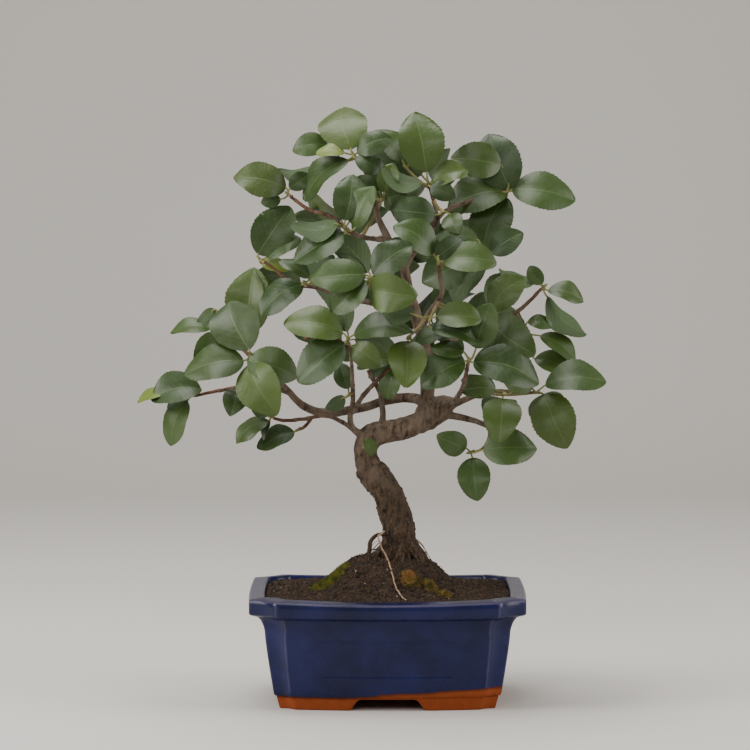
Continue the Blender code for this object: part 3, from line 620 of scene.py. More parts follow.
# %% Soil finishes
def soil_finish():
    earth = Finish("soil_earth", Roughness=0.95)
    place = earth.place()
    clods = earth.noise(place, 260.0, 6.0, 0.7)
    fibres = earth.node("ShaderNodeTexVoronoi", {"feature": "F1"}, {"Vector": place, "Scale": 700.0})
    dark = earth.mix(clods.between(0.35, 0.7), (0.010, 0.006, 0.004), (0.045, 0.023, 0.011))
    colour = earth.mix(fibres.between(0.45, 0.9) * 0.35, dark, (0.09, 0.05, 0.025))
    return earth.set(Base_Color=colour, Normal=earth.bump(clods + fibres * 0.4, 0.9, 0.0012))


def litter_finish(name, dark, light, roughness=0.9):
    """Small dry things whose colour changes from one to the next."""
    litter = Finish(name, Roughness=roughness)
    place = litter.place()
    tone = litter.noise(place, 420.0, 2.0).between(0.3, 0.7)
    grain = litter.noise(place, 2500.0, 2.0)
    return litter.set(Base_Color=litter.mix(tone, dark, light),
                      Normal=litter.bump(grain, 0.5, 0.0003))


SOIL = soil_finish()
CRUMB = litter_finish("soil_crumb", (0.006, 0.004, 0.0025), (0.060, 0.029, 0.014))
STRAW = litter_finish("straw", (0.10, 0.055, 0.022), (0.29, 0.19, 0.095), 0.7)
CHIP = litter_finish("pale_chip", (0.14, 0.10, 0.07), (0.36, 0.29, 0.22), 0.7)
SPRIG = litter_finish("moss_sprig", (0.030, 0.026, 0.004), (0.125, 0.095, 0.018))

# %% Build the soil
SOIL_BELOW_RIM = 2.5
SOIL_INSET = 9.8  # from the rim's outer edge to the soil
SOIL_EDGE = POT_HEIGHT - SOIL_BELOW_RIM
MOUND_RISE = 20.0
MOUND_REACH = 31.0
MOUND_X = 1.5
MOUND_Y = -1.0
SOIL_HALF_X = POT_WIDTH / 2 - SOIL_INSET
SOIL_HALF_Y = POT_DEPTH / 2 - SOIL_INSET
FOOT_X = 6.8


def soil_height(x, y):
    """The mound as it was planned: level at the rim, and a round heap under the tree."""
    far = math.hypot(x - MOUND_X, y - MOUND_Y) / MOUND_REACH
    edge = max(abs(x) / SOIL_HALF_X, abs(y) / SOIL_HALF_Y)
    return SOIL_EDGE + MOUND_RISE * max(0.0, 1 - edge ** 6) / (1 + far ** 6)


COLLAR = soil_height(FOOT_X, 0.0)


def rough(x, y, seed):
    place = Vector((x, y, seed))
    return (0.9 * noise.noise(place * 0.11) + 0.75 * noise.noise(place * 0.33)
            + 0.5 * noise.noise(place * 0.9))


def make_soil():
    shares = [1.0] + [0.985 - 0.0165 * step for step in range(59)] + [0.006]
    rings = [outline(22.0, CORNER - 6, FLOOR_TOP + 2.0)[0], outline(13.5, CORNER - 4.5, BAND_FOOT - 4)[0]]
    for share in shares:
        ring, _ = outline(SOIL_INSET, CORNER - 3.4, 0.0, scale=share)
        lifted = []
        for x, y, _ in ring:
            settle = smooth_step(1.0, 0.93, share) if share < 1 else 0.0
            lifted.append((x, y, soil_height(x, y) + rough(x, y, 3.0) * (0.25 + 0.75 * settle)))
        rings.append(lifted)
    sides = len(rings[0])
    points = [point for ring in rings for point in ring]
    faces = ring_faces(len(rings), sides)
    faces.append(tuple(reversed(range(sides))))
    faces.append(tuple(range((len(rings) - 1) * sides, len(rings) * sides)))
    return new_piece("soil_fine", points, faces, [SOIL])


soil = make_soil()
crumb = small_thing("crumb", [(0, 0, -0.5), (0.62, 0.1, 0), (0.1, 0.5, 0.1), (-0.55, 0.2, -0.05),
                              (-0.2, -0.5, 0.06), (0.35, -0.45, -0.1), (0.05, 0, 0.45)],
                    [(0, 2, 1), (0, 3, 2), (0, 4, 3), (0, 5, 4), (0, 1, 5),
                     (6, 1, 2), (6, 2, 3), (6, 3, 4), (6, 4, 5), (6, 5, 1)])
straw = small_thing("straw_bit", [(-3, -0.12, 0.1), (-3, 0.12, 0.1), (-3, 0, 0.3), (-0.5, -0.16, 0.5),
                                  (-0.5, 0.16, 0.5), (-0.5, 0, 0.75), (3, -0.1, 0.2), (3, 0.1, 0.2),
                                  (3, 0, 0.4)],
                    [(0, 2, 1), (0, 1, 4, 3), (1, 2, 5, 4), (2, 0, 3, 5), (3, 4, 7, 6), (4, 5, 8, 7),
                     (5, 3, 6, 8), (6, 7, 8)])
tip = small_thing("moss_tip", [(0.22, 0, 0), (-0.12, 0.2, 0), (-0.12, -0.2, 0), (0.05, 0.02, 1.5)],
                  [(0, 2, 1), (0, 1, 3), (1, 2, 3), (2, 0, 3)])

# Name, thing, how many per square metre, smallest, largest, lean, seed, material
LITTER = [
    ("crumbs", crumb, 330000.0, 0.7, 2.4, 2.0, 11, CRUMB),
    ("fibres", straw, 90000.0, 0.3, 0.95, 0.6, 12, CRUMB),
    ("straws", straw, 15000.0, 0.22, 0.75, 0.35, 13, STRAW),
    ("chips", crumb, 2600.0, 0.5, 1.7, 2.0, 14, CHIP),
    ("sprigs", tip, 90000.0, 0.5, 1.3, 1.1, 15, SPRIG),
]


def dress_soil(ground):
    pieces = [ground]
    for name, thing, density, smallest, largest, lean, seed, finish in LITTER:
        pieces.append(scattered(name, ground, Thing=thing, Density=density, Smallest=smallest,
                                Largest=largest, Lean=lean, Seed=seed, Material=finish,
                                **{"Facing Up": 0.35}))
        print(name, len(pieces[-1].data.polygons), "faces")
    return joined("soil_dressed", pieces)


soil = dress_soil(soil)

# %% [markdown]
# ## Moss
# Moss cushions are low domes covered with short pointed tips. The domes give the weight of the
# colour, and the tips break up the outline, which is what makes moss look soft. The same scatter
# tree sets the tips, leaning every way.

# %% Moss
MOSS_THICKNESS = 3.2
# Name, middle as shares of the soil's half width and depth, half width, half depth, colours
MOSS = [
    ("moss_green", (-0.48, -0.16), (12.0, 9.5), (0.040, 0.050, 0.004), (0.155, 0.150, 0.012)),
    ("moss_gold_left", (0.19, -0.57), (6.5, 5.0), (0.062, 0.047, 0.007), (0.22, 0.150, 0.026)),
    ("moss_gold_middle", (0.35, -0.55), (5.0, 4.5), (0.062, 0.047, 0.007), (0.22, 0.150, 0.026)),
    ("moss_gold_right", (0.47, -0.66), (4.5, 3.5), (0.060, 0.044, 0.007), (0.21, 0.140, 0.024)),
]


def moss_finish(name, dark, light):
    moss = Finish(name, Roughness=0.9)
    place = moss.place()
    patch = moss.noise(place, 230.0, 3.0).between(0.35, 0.65)
    rust = moss.noise(place, 90.0, 2.0).between(0.55, 0.7)
    colour = moss.mix(patch, dark, light)
    warm = moss.mix(rust * 0.7, colour, (0.30, 0.13, 0.04))
    return moss.set(Base_Color=warm, Normal=moss.bump(moss.noise(place, 1500.0), 0.6, 0.0004))


def make_moss(name, shares, halves, dark, light, seed):
    finish = moss_finish(name + "_finish", dark, light)
    x, y = shares[0] * SOIL_HALF_X, shares[1] * SOIL_HALF_Y
    points = []
    rings, sides = 9, 28
    for ring in range(rings):
        share = 1 - ring / (rings - 0.6)
        for side in range(sides):
            angle = 2 * math.pi * side / sides
            wobble = 1 + 0.18 * noise.noise(Vector((math.cos(angle), math.sin(angle), seed)) * 1.6)
            px = x + halves[0] * share * wobble * math.cos(angle)
            py = y + halves[1] * share * wobble * math.sin(angle)
            dome = MOSS_THICKNESS * (1 - share * share) ** 0.7
            lump = 0.7 * noise.noise(Vector((px, py, seed)) * 0.45)
            points.append((px, py, soil_height(px, py) - 0.6 + (dome + lump * dome / 2)))
    faces = ring_faces(rings, sides)
    faces.append(tuple(reversed(range(sides))))
    faces.append(tuple(range((rings - 1) * sides, rings * sides)))
    dome = new_piece(name + "_dome", points, faces, [finish])
    tips = scattered(name + "_tips", dome, Thing=tip, Density=4.5e6, Smallest=0.6, Largest=1.25,
                     Lean=0.7, Seed=seed, Material=finish, **{"Facing Up": -0.2})
    piece = joined(name + "_soft", [dome, tips])
    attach(piece, "root")
    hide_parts(name)
    print(name, len(piece.data.polygons), "faces")


for number, (name, shares, halves, dark, light) in enumerate(MOSS):
    make_moss(name, shares, halves, dark, light, 21 + number)

# %% [markdown]
# ## Drain screens
# Two squares of plastic net lie over the drain holes, so that soil doesn't wash out. They only
# show from underneath. A net repeats, so a small node tree crosses two rows of bars.

# %% Net
def net_tree():
    tree = bpy.data.node_groups.new("net", "GeometryNodeTree")
    for name, kind in (("Blank", "NodeSocketGeometry"), ("Span", "NodeSocketFloat"),
                       ("Bars", "NodeSocketInt"), ("Thickness", "NodeSocketFloat"),
                       ("Place", "NodeSocketVector"),
                       ("Material", "NodeSocketMaterial")):
        tree.interface.new_socket(name, in_out="INPUT", socket_type=kind)
    tree.interface.new_socket("Result", in_out="OUTPUT", socket_type="NodeSocketGeometry")
    given = tree.nodes.new("NodeGroupInput").outputs
    grid = tree.nodes.new("GeometryNodeMeshGrid")
    for name in ("Size X", "Size Y"):
        tree.links.new(given["Span"], grid.inputs[name])
    for name in ("Vertices X", "Vertices Y"):
        tree.links.new(given["Bars"], grid.inputs[name])
    wires = tree.nodes.new("GeometryNodeMeshToCurve")
    round_bar = tree.nodes.new("GeometryNodeCurvePrimitiveCircle")
    round_bar.inputs["Resolution"].default_value = 6
    bars = tree.nodes.new("GeometryNodeCurveToMesh")
    move = tree.nodes.new("GeometryNodeTransform")
    real = tree.nodes.new("GeometryNodeRealizeInstances")
    dress = tree.nodes.new("GeometryNodeSetMaterial")
    result = tree.nodes.new("NodeGroupOutput")
    tree.links.new(grid.outputs["Mesh"], wires.inputs[0])
    tree.links.new(wires.outputs[0], bars.inputs["Curve"])
    tree.links.new(given["Thickness"], round_bar.inputs["Radius"])
    tree.links.new(round_bar.outputs["Curve"], bars.inputs["Profile Curve"])
    tree.links.new(bars.outputs[0], move.inputs["Geometry"])
    tree.links.new(given["Place"], move.inputs["Translation"])
    tree.links.new(move.outputs[0], real.inputs[0])
    tree.links.new(real.outputs[0], dress.inputs["Geometry"])
    tree.links.new(given["Material"], dress.inputs["Material"])
    tree.links.new(dress.outputs[0], result.inputs[0])
    return tree


def net_finish():
    plastic = Finish("net_plastic", Roughness=0.5)
    grain = plastic.noise(plastic.place(), 600.0)
    return plastic.set(Base_Color=plastic.mix(grain, (0.012, 0.012, 0.012), (0.03, 0.03, 0.03)))


NET = net_tree()
NET_FINISH = net_finish()
SCREEN_SIZE = 23.0
WIRE_RADIUS = 0.45
for side in ("left", "right"):
    node = "drain_screen_" + side
    low, high = (Vector(corner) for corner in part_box(node))
    blank = bpy.data.objects.new("blank", bpy.data.meshes.new("blank"))
    bpy.context.scene.collection.objects.link(blank)
    wanted = {"Span": SCREEN_SIZE * MM, "Bars": 9, "Thickness": WIRE_RADIUS * MM,
              "Place": tuple((low + high) / 2), "Material": NET_FINISH}
    net = grown("net_" + side, NET, blank, wanted)
    bpy.data.objects.remove(blank)
    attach(net, "root")
    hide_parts(node)
    print(net.name, len(net.data.polygons), "faces")

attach(pot, "root")
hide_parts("pot")
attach(soil, "root")
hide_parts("soil")

# %% [markdown]
# ## The tree's plan
# A tree has no straight edges to measure from, so it is planned as it is drawn: each branch is a
# row of points with a place across, a height, a depth and a thickness. The plan is drawn in front
# elevation as the camera sees it, so `at` pushes each point back or forward along its own line
# of sight. The depths are drawn out a little, because the crown is nearly as deep as it is tall.

# %% From the plan to the pot
CROWN_FULLNESS = 1.3
PLANNED_COLLAR = 79.0
TWIN_RISE = 1.3
REAR_TURN = 38.0


def at(u, v, depth=0.0):
    """A place of the plan: across, height and depth, in millimetres."""
    depth = depth * CROWN_FULLNESS
    far = 1 + depth / EYE_DISTANCE
    x = EYE_X + (u - EYE_X) * far
    z = PLANNED_EYE + (v - PLANNED_EYE) * far
    return Vector((x, depth, COLLAR + z - PLANNED_COLLAR))


# Each branch: name, whether it has a twin at the back, and its points (u, v, depth, thickness)
BRANCHES = [
    ("limb", False, [
        (6.4, 89, 0, 20.5), (5.6, 100, 0, 19.5), (2.8, 108.6, 0, 19), (-1, 117, 0, 18), (-6, 124, 0, 18.5),
        (-11, 131, 0, 14.6), (-12.4, 139.5, 0, 14.6), (-9.5, 146.5, 0, 16), (-1.7, 149.6, -1, 13.5),
        (6.8, 151, -2, 13), (15, 153.5, -2, 13.5), (23.6, 158, -2, 15.5), (31, 163.3, -2, 15.5),
        (35, 165.3, -2, 11)]),
    ("leader", False, [
        (22.5, 160, 0, 11), (22.5, 168, 0, 9.5), (22.5, 176, 0, 8.5), (21, 196, 0, 8), (17, 212.6, -1, 7.2),
        (12, 229.5, -2, 6.4), (9, 243.6, -2, 5.6), (1, 257.6, -3, 4.8), (-5.6, 271.7, -4, 4),
        (-8, 285, -5, 3), (-13, 297, -6, 2.4), (-18, 304.5, -6, 1.8)]),
    ("diagonal", False, [
        (9, 241, -2, 4.4), (15, 252, -6, 3.8), (23.6, 261.6, -10, 3.2), (29, 271, -14, 2.8),
        (37, 276.5, -15, 2.4), (51, 281, -12, 2.2), (65, 284.5, -9, 1.8)]),
    ("crown_front", True, [
        (28, 269, -13, 2.6), (26, 280, -17, 2.2), (23.5, 288, -18, 1.8)]),
    ("back_left", False, [
        (22, 165, 3, 7), (16, 168.4, 10, 6.6), (6.8, 168.8, 14, 6), (-1.7, 167, 16, 5.6),
        (-13, 163.7, 18, 5.4), (-24, 161.4, 18, 5.6), (-35.4, 160.3, 16, 6), (-45, 163, 13, 5.2),
        (-51.8, 168, 9, 4.6),
        (-56.8, 173.8, 4, 4), (-66, 183, -8, 3), (-74.5, 192, -19, 2.2)]),
    ("left_reach", False, [
        (-55, 171.5, 6, 3), (-67, 175.5, 1, 2.6), (-79, 175.5, -1, 2.2), (-94.5, 173, -1, 2),
        (-109, 170, 0, 1.6)]),
    ("left_back", False, [
        (-63, 180, -4, 2.6), (-76, 191, 5, 2.2), (-89, 204, 13, 1.8)]),
    ("left_fork", True, [
        (-12, 145, -2, 4.6), (-19.7, 152, -3.5, 4), (-21, 159, -5, 3.6), (-19.5, 167.6, -8, 3.2),
        (-20, 185, -26, 2.6), (-21.5, 200, -45, 2.2)]),
    ("mid_left", True, [
        (-21, 196, -40, 2), (-30, 203, -42, 1.9), (-39, 204, -40, 1.8), (-47, 202.5, -37, 1.6)]),
    ("low_left", False, [
        (-19.5, 151, -4, 2.6), (-27, 156, -6, 2.4), (-35.4, 158.6, -8, 2.3), (-46.7, 157, -9, 2.1),
        (-58, 156, -10, 2), (-64.5, 157.6, -10, 1.7)]),
    ("low_left_spur", False, [
        (-42.8, 157.4, -8.6, 1.9), (-46.5, 152.6, -7.4, 1.8), (-49.5, 151, -6.4, 1.6)]),
    ("light_twig", True, [
        (-19.5, 160.5, -5, 2.8), (-14.6, 168.8, -10, 2.5), (-9, 175.5, -12, 2.3), (-2.8, 181.7, -14, 2),
        (4.5, 188, -14, 1.7)]),
    ("behind_limb", False, [
        (-3, 150, 5, 3.8), (-2.8, 160, 9, 3.4), (-4.2, 172, 13, 3), (-11, 184.5, 16, 2.4)]),
    ("right_upper", False, [
        (31, 164, -3, 6), (37.5, 165.2, -4, 4.6), (43, 167.6, -6, 4), (51.8, 171, -10, 3.6),
        (57.4, 172.6, -12, 3.2), (70, 172.6, -16, 2.6), (83, 171.8, -19, 2)]),
    ("right_lower", False, [
        (30, 159.5, -4, 6), (37, 158.6, -5, 4.6), (45, 157, -6, 4), (51.8, 155, -9, 3.4),
        (57.6, 151.4, -11, 2.8), (56.4, 143.6, -13, 2.2), (52.9, 139.4, -14, 2), (48.8, 138.2, -14, 1.8)]),
    ("right_riser", True, [
        (34, 164, -6, 3.4), (39, 168.6, -18, 2.6), (43, 177, -34, 2.4), (45.4, 188, -47, 2)]),
    ("front_riser", True, [
        (20.4, 203, -1, 4), (20, 209, -18, 3.6), (24, 217, -36, 3.2), (30.5, 227.5, -45, 2.8),
        (29.6, 237, -45, 2.4), (28.6, 244.5, -44, 1.8)]),
    ("right_reach", False, [
        (21.5, 190, 1, 4), (34, 200, 8, 3.2), (56, 211, 10, 2.8), (73, 217.6, 7, 2.4),
        (86.6, 230.4, 5, 1.8)]),
    ("centre_front", True, [
        (12.5, 227, -2, 3.4), (3, 232, -25, 2.6), (-8, 235.6, -47, 1.8)]),
    ("long_left", True, [
        (15, 218, -1, 3.8), (-2, 221.6, -6, 3), (-21, 225, -12, 2.6), (-39, 231, -14, 2.4),
        (-49.5, 232.6, -13, 2.2), (-57, 236.4, -9, 2), (-69.5, 246, -5.4, 1.6)]),
    ("upper_left", True, [
        (0.5, 258, -3, 3), (-10, 259, -8, 2.6), (-20, 262, -14, 2.4), (-32.6, 271.4, -13, 2.2),
        (-43.9, 275, -9, 2), (-54.5, 282.5, -5, 1.7)]),
]

ON_A_TWIN = ("mid_left",)

# %% [markdown]
# ## Wood
# The trunk, limb and larger branches grow into each other, so their joints have no seam. Loose
# tubes would show where they cross. Here the thick ones are made as tubes with burls and root
# flares, then remeshed into one skin, smoothed, and pushed in and out by noise for the bark.
# The thin twigs stay tubes, because a remesh fine enough for them would be very heavy.

# %% Tubes along a smooth path
def smooth_path(points, radii, step):
    """A smooth curve through all the points, with a radius at each place on it."""
    places = []
    sizes = []
    last = len(points) - 1
    for i in range(last):
        before, here = points[max(i - 1, 0)], points[i]
        ahead, beyond = points[i + 1], points[min(i + 2, last)]
        count = max(2, int((ahead - here).length / step))
        for k in range(count):
            t = k / count
            bend = (2 * here + (ahead - before) * t + (2 * before - 5 * here + 4 * ahead - beyond) * t * t
                    + (3 * here - before - 3 * ahead + beyond) * t ** 3)
            places.append(bend / 2)
            share = t * t * (3 - 2 * t)
            sizes.append(radii[i] + (radii[i + 1] - radii[i]) * share)
    return places + [points[-1]], sizes + [radii[-1]]


class Shape:
    """Points and faces that grow, with numbers kept for each point."""
    def __init__(self):
        self.points = []
        self.faces = []
        self.kinds = []
        self.marks = {}

    def add(self, points, faces, kind=0, **marks):
        first = len(self.points)
        self.points += points
        self.faces += [tuple(first + corner for corner in face) for face in faces]
        self.kinds += [kind] * len(faces)
        for name in set(self.marks) | set(marks):
            row = self.marks.setdefault(name, [0.0] * first)
            value = marks.get(name, 0.0)
            row += value if isinstance(value, list) else [value] * len(points)

    def tube(self, places, radii, sides, kind=0, lumps=0.0, **marks):
        """A closed round tube along the places."""
        side = Vector((0.31, -0.9, 0.3))
        points = []
        for i, place in enumerate(places):
            way = (places[min(i + 1, len(places) - 1)] - places[max(i - 1, 0)]).normalized()
            side = (side - way * side.dot(way)).normalized()
            up = way.cross(side)
            for s in range(sides):
                angle = 2 * math.pi * s / sides
                out = side * math.cos(angle) + up * math.sin(angle)
                swell = 1 + lumps * noise.noise(place * 0.12 + out * 1.3)
                points.append(place + out * (radii[i] * swell))
        count = len(places)
        faces = ring_faces(count, sides)
        faces.append(tuple(reversed(range(sides))))
        faces.append(tuple(range((count - 1) * sides, count * sides)))
        marks = {name: [value[i // sides] for i in range(count * sides)] if isinstance(value, list)
                 else value for name, value in marks.items()}
        self.add(points, faces, kind, **marks)

    def ball(self, middle, radius, squash=1.0):
        """A closed ball, for a burl or a pruned knob."""
        rows = 8
        places = [middle + Vector((0, 0, -radius * squash * math.cos(math.pi * (i + 0.5) / rows)))
                  for i in range(rows)]
        radii = [radius * math.sin(math.pi * (i + 0.5) / rows) for i in range(rows)]
        self.tube(places, radii, 14)

    def piece(self, name, materials):
        made = new_piece(name, self.points, self.faces, materials)
        made.data.polygons.foreach_set("material_index", self.kinds)
        for mark, row in self.marks.items():
            layer = made.data.attributes.new(mark, "FLOAT", "POINT")
            layer.data.foreach_set("value", row)
        return made


# %% Bark and twig finishes
def bark_finish():
    bark = Finish("bark", Roughness=0.85, Specular_IOR_Level=0.3)
    place = bark.place()
    height = bark.axes(place)[2]
    old = 1 - (height + (bark.noise(place, 40.0, 2.0) - 0.5) * 0.03).between(0.105, 0.150)
    age = bark.attribute("young")
    long_way = bark.node("ShaderNodeVectorMath", {"operation": "MULTIPLY"}, {0: place, 1: (1.0, 1.0, 0.35)})
    plates = bark.noise(long_way, 420.0, 6.0, 0.68)
    blotch = bark.noise(place, 95.0, 4.0, 0.6)
    grains = bark.node("ShaderNodeTexVoronoi", {"feature": "F1"}, {"Vector": place, "Scale": 520.0})
    dark = bark.mix(plates.between(0.36, 0.66), (0.012, 0.007, 0.004), (0.062, 0.035, 0.019))
    grey = bark.mix(plates.between(0.34, 0.64), (0.030, 0.019, 0.012), (0.155, 0.108, 0.073))
    limb = bark.mix(blotch.between(0.42, 0.62) * 0.5, grey, (0.20, 0.155, 0.112))
    wood = bark.mix(old * 0.85, limb, dark)
    warts = bark.mix(grains.between(0.35, 0.12) * old * 0.4, wood, (0.16, 0.10, 0.055))
    streaks = bark.noise(place, 300.0).between(0.35, 0.65)
    red = bark.mix(streaks, (0.050, 0.022, 0.011), (0.125, 0.058, 0.028))
    green = bark.mix(bark.noise(place, 260.0).between(0.35, 0.65), (0.10, 0.088, 0.020), (0.17, 0.15, 0.038))
    twig = bark.mix(age.between(0.72, 1.0), red, green)
    colour = bark.mix(age.between(0.15, 0.6), warts, twig)
    deep = plates * 1.0 + (1 - grains.between(0.0, 0.6)) * 0.5 * old
    depth = bark.bump(deep, 0.8, 0.0007)
    return bark.set(Base_Color=colour, Normal=depth)


BARK = bark_finish()
ROOT = litter_finish("root_fibre", (0.028, 0.015, 0.008), (0.115, 0.066, 0.031), 0.8)
PALE_ROOT = litter_finish("pale_root", (0.20, 0.12, 0.07), (0.42, 0.29, 0.19), 0.7)

# %% The thick wood, skinned as one
THICK = ("limb", "leader", "back_left", "left_fork", "right_upper", "right_lower")
SKIN_GRAIN = 0.62 * MM  # size of the remesh's cubes
SLIMMER = 0.93  # leaves room for the bark's relief
# Burls and pruned knobs: across, height, depth, radius, squash
KNOBS = [(-14.5, 125.5, -2, 3.6, 0.8), (-9.5, 147, -1, 6.6, 0.8), (34.6, 165.6, -3, 4.8, 0.9),
         (22.8, 161, -2, 7.2, 0.9), (11, 99, -3, 3.4, 1.3), (-1.6, 107, -4, 2.8, 1.2),
         (-6.5, 133.5, -5, 2.6, 1.0)]
# Root collar: direction in degrees, reach and radius
COLLAR_ROOTS = [(25, 7, 3.2), (70, 6, 2.4), (115, 7, 3.0), (160, 7, 2.4), (195, 6, 3.2),
                (245, 8, 2.8), (275, 7, 2.2), (322, 8, 3.0), (355, 6, 2.4)]


def branch_paths():
    """Every branch and its twin: name, places and radii."""
    for name, twin, points in BRANCHES:
        for back in (False, True) if twin else (False,):
            places = [at(u, v, -depth if back else depth) for u, v, depth, _ in points]
            if back and name not in ON_A_TWIN:
                places[0] = at(points[0][0], points[0][1] + TWIN_RISE, points[0][2])
            yield name, places, [thickness / 2 for *_, thickness in points]


def thick_wood():
    shape = Shape()
    for name, places, radii in branch_paths():
        if name not in THICK:
            continue
        if name == "limb":
            below = [Vector((FOOT_X, 0, COLLAR + rise)) for rise in (-8, -1, 5)]
            places = below + places
            radii = [11.5, 11.0, 10.5] + radii
        fine, sizes = smooth_path(places, radii, 2.0)
        shape.tube(fine, [SLIMMER * size for size in sizes], 20, lumps=0.16)
    for angle, reach, radius in COLLAR_ROOTS:
        out = Vector((math.cos(math.radians(angle)), math.sin(math.radians(angle)), 0))
        foot = Vector((FOOT_X, 0, 0))
        path = [foot + out * 5 + Vector((0, 0, COLLAR + 11)), foot + out * 9.5 + Vector((0, 0, COLLAR + 4)),
                foot + out * (11 + 0.4 * reach) + Vector((0, 0, COLLAR + 0.5)), foot + out * (11 + reach)]
        path[3].z = soil_height(path[3].x, path[3].y) - 2.0
        fine, sizes = smooth_path(path, [radius, radius, 0.8 * radius, 0.4 * radius], 1.5)
        shape.tube(fine, sizes, 12, lumps=0.3)
    for u, v, depth, radius, squash in KNOBS:
        shape.ball(at(u, v, depth), radius, squash)
    return shape.piece("thick_wood", [BARK])


def remeshed(piece, size):
    """One closed skin around all the piece's bodies."""
    skin = piece.modifiers.new("skin", "REMESH")
    skin.mode = "VOXEL"
    skin.voxel_size = size
    skin.use_smooth_shade = True
    graph = bpy.context.evaluated_depsgraph_get()
    mesh = bpy.data.meshes.new_from_object(piece.evaluated_get(graph))
    bpy.data.objects.remove(piece)
    return mesh


def thickness_guide():
    """The thick wood's plan as points with a thickness, to look up the nearest."""
    samples = []
    for name, places, radii in branch_paths():
        if name in THICK:
            samples += zip(*smooth_path(places, radii, 2.0))
    tree = kdtree.KDTree(len(samples))
    for index, (place, _) in enumerate(samples):
        tree.insert(world(place), index)
    tree.balance()
    return tree, [radius for _, radius in samples]


guide, guide_radii = thickness_guide()


def youth(radius):
    """0 on old bark, 1 on this year's green wood."""
    return 1 - smooth_step(0.45, 1.6, radius)


def barked(mesh):
    """Smooths the skin, then roughens it: plates, warts and long furrows."""
    shape = bmesh.new()
    shape.from_mesh(mesh)
    for _ in range(3):
        bmesh.ops.smooth_vert(shape, verts=shape.verts, factor=0.5, use_axis_x=True, use_axis_y=True,
                              use_axis_z=True)
    shape.normal_update()
    moves = []
    ages = []
    for vertex in shape.verts:
        place = vertex.co / MM
        _, index, _ = guide.find(vertex.co)
        radius = guide_radii[index]
        old = smooth_step(1.5, 7.0, radius)
        low = 1 - smooth_step(COLLAR + 30, COLLAR + 75, place.z)
        furrow = noise.noise(Vector((place.x * 0.42, place.y * 0.42, place.z * 0.16)))
        plate = noise.noise(place * 0.28 + Vector((7, 3, 1)))
        wart = max(0.0, noise.noise(place * 0.75) - 0.18)
        move = old * (0.40 * plate + 0.40 * furrow + (0.25 + 1.0 * low) * wart)
        moves.append(vertex.normal * (move * MM))
        ages.append(youth(radius))
    for vertex, move in zip(shape.verts, moves):
        vertex.co += move
    shape.to_mesh(mesh)
    shape.free()
    layer = mesh.attributes.new("young", "FLOAT", "POINT")
    layer.data.foreach_set("value", ages)
    mesh.materials.clear()
    mesh.materials.append(BARK)
    mesh.shade_smooth()
    return mesh


skin = barked(remeshed(thick_wood(), SKIN_GRAIN))
thick = bpy.data.objects.new("bark_skin", skin)
bpy.context.scene.collection.objects.link(thick)
print("thick wood:", len(skin.polygons), "faces")

# %% [markdown]
# ## Twigs and roots
# Thin branches are tubes with small swellings where leaves once stood. At the foot of the trunk an
# old root arches out of the soil like a rope, a long pale one runs down to the rim, and fine hair
# roots hang from the collar. They follow the soil, so their heights come from its formula.

# %% Twigs
BUD_SPACING = 7.0


def thin_wood():
    shape = Shape()
    for name, places, radii in branch_paths():
        if name in THICK:
            continue
        fine, sizes = smooth_path(places, radii, 1.6)
        walked = 0.0
        for i in range(1, len(fine)):
            walked += (fine[i] - fine[i - 1]).length
            node = max(0.0, math.cos(2 * math.pi * walked / BUD_SPACING)) ** 8
            kink = noise.noise_vector(fine[i] * 0.25) * 0.35
            fine[i] = fine[i] + kink
            sizes[i] *= 1 + 0.28 * node
        ages = [youth(size) for size in sizes]
        shape.tube(fine, sizes, 9, young=ages)
    return shape


# %% Roots
ARCH_ROOT = [(-1.5, 91, -6), (-4.5, 91.5, -8), (-7.5, 90, -9), (-9.6, 86.5, -10), (-10.2, 82.5, -10.5)]
THIN_ROOT = [(-0.2, -0.32), (0.9, -0.42), (2.3, -0.53), (4.4, -0.66), (7.0, -0.79), (10.5, -0.92)]
HAIR_ROOTS = 46
STRAND_OFFSET = 0.75  # from the arch root's middle to each of its three strands


def on_soil(x, y, above=0.0):
    return Vector((x, y, soil_height(x, y) + above))


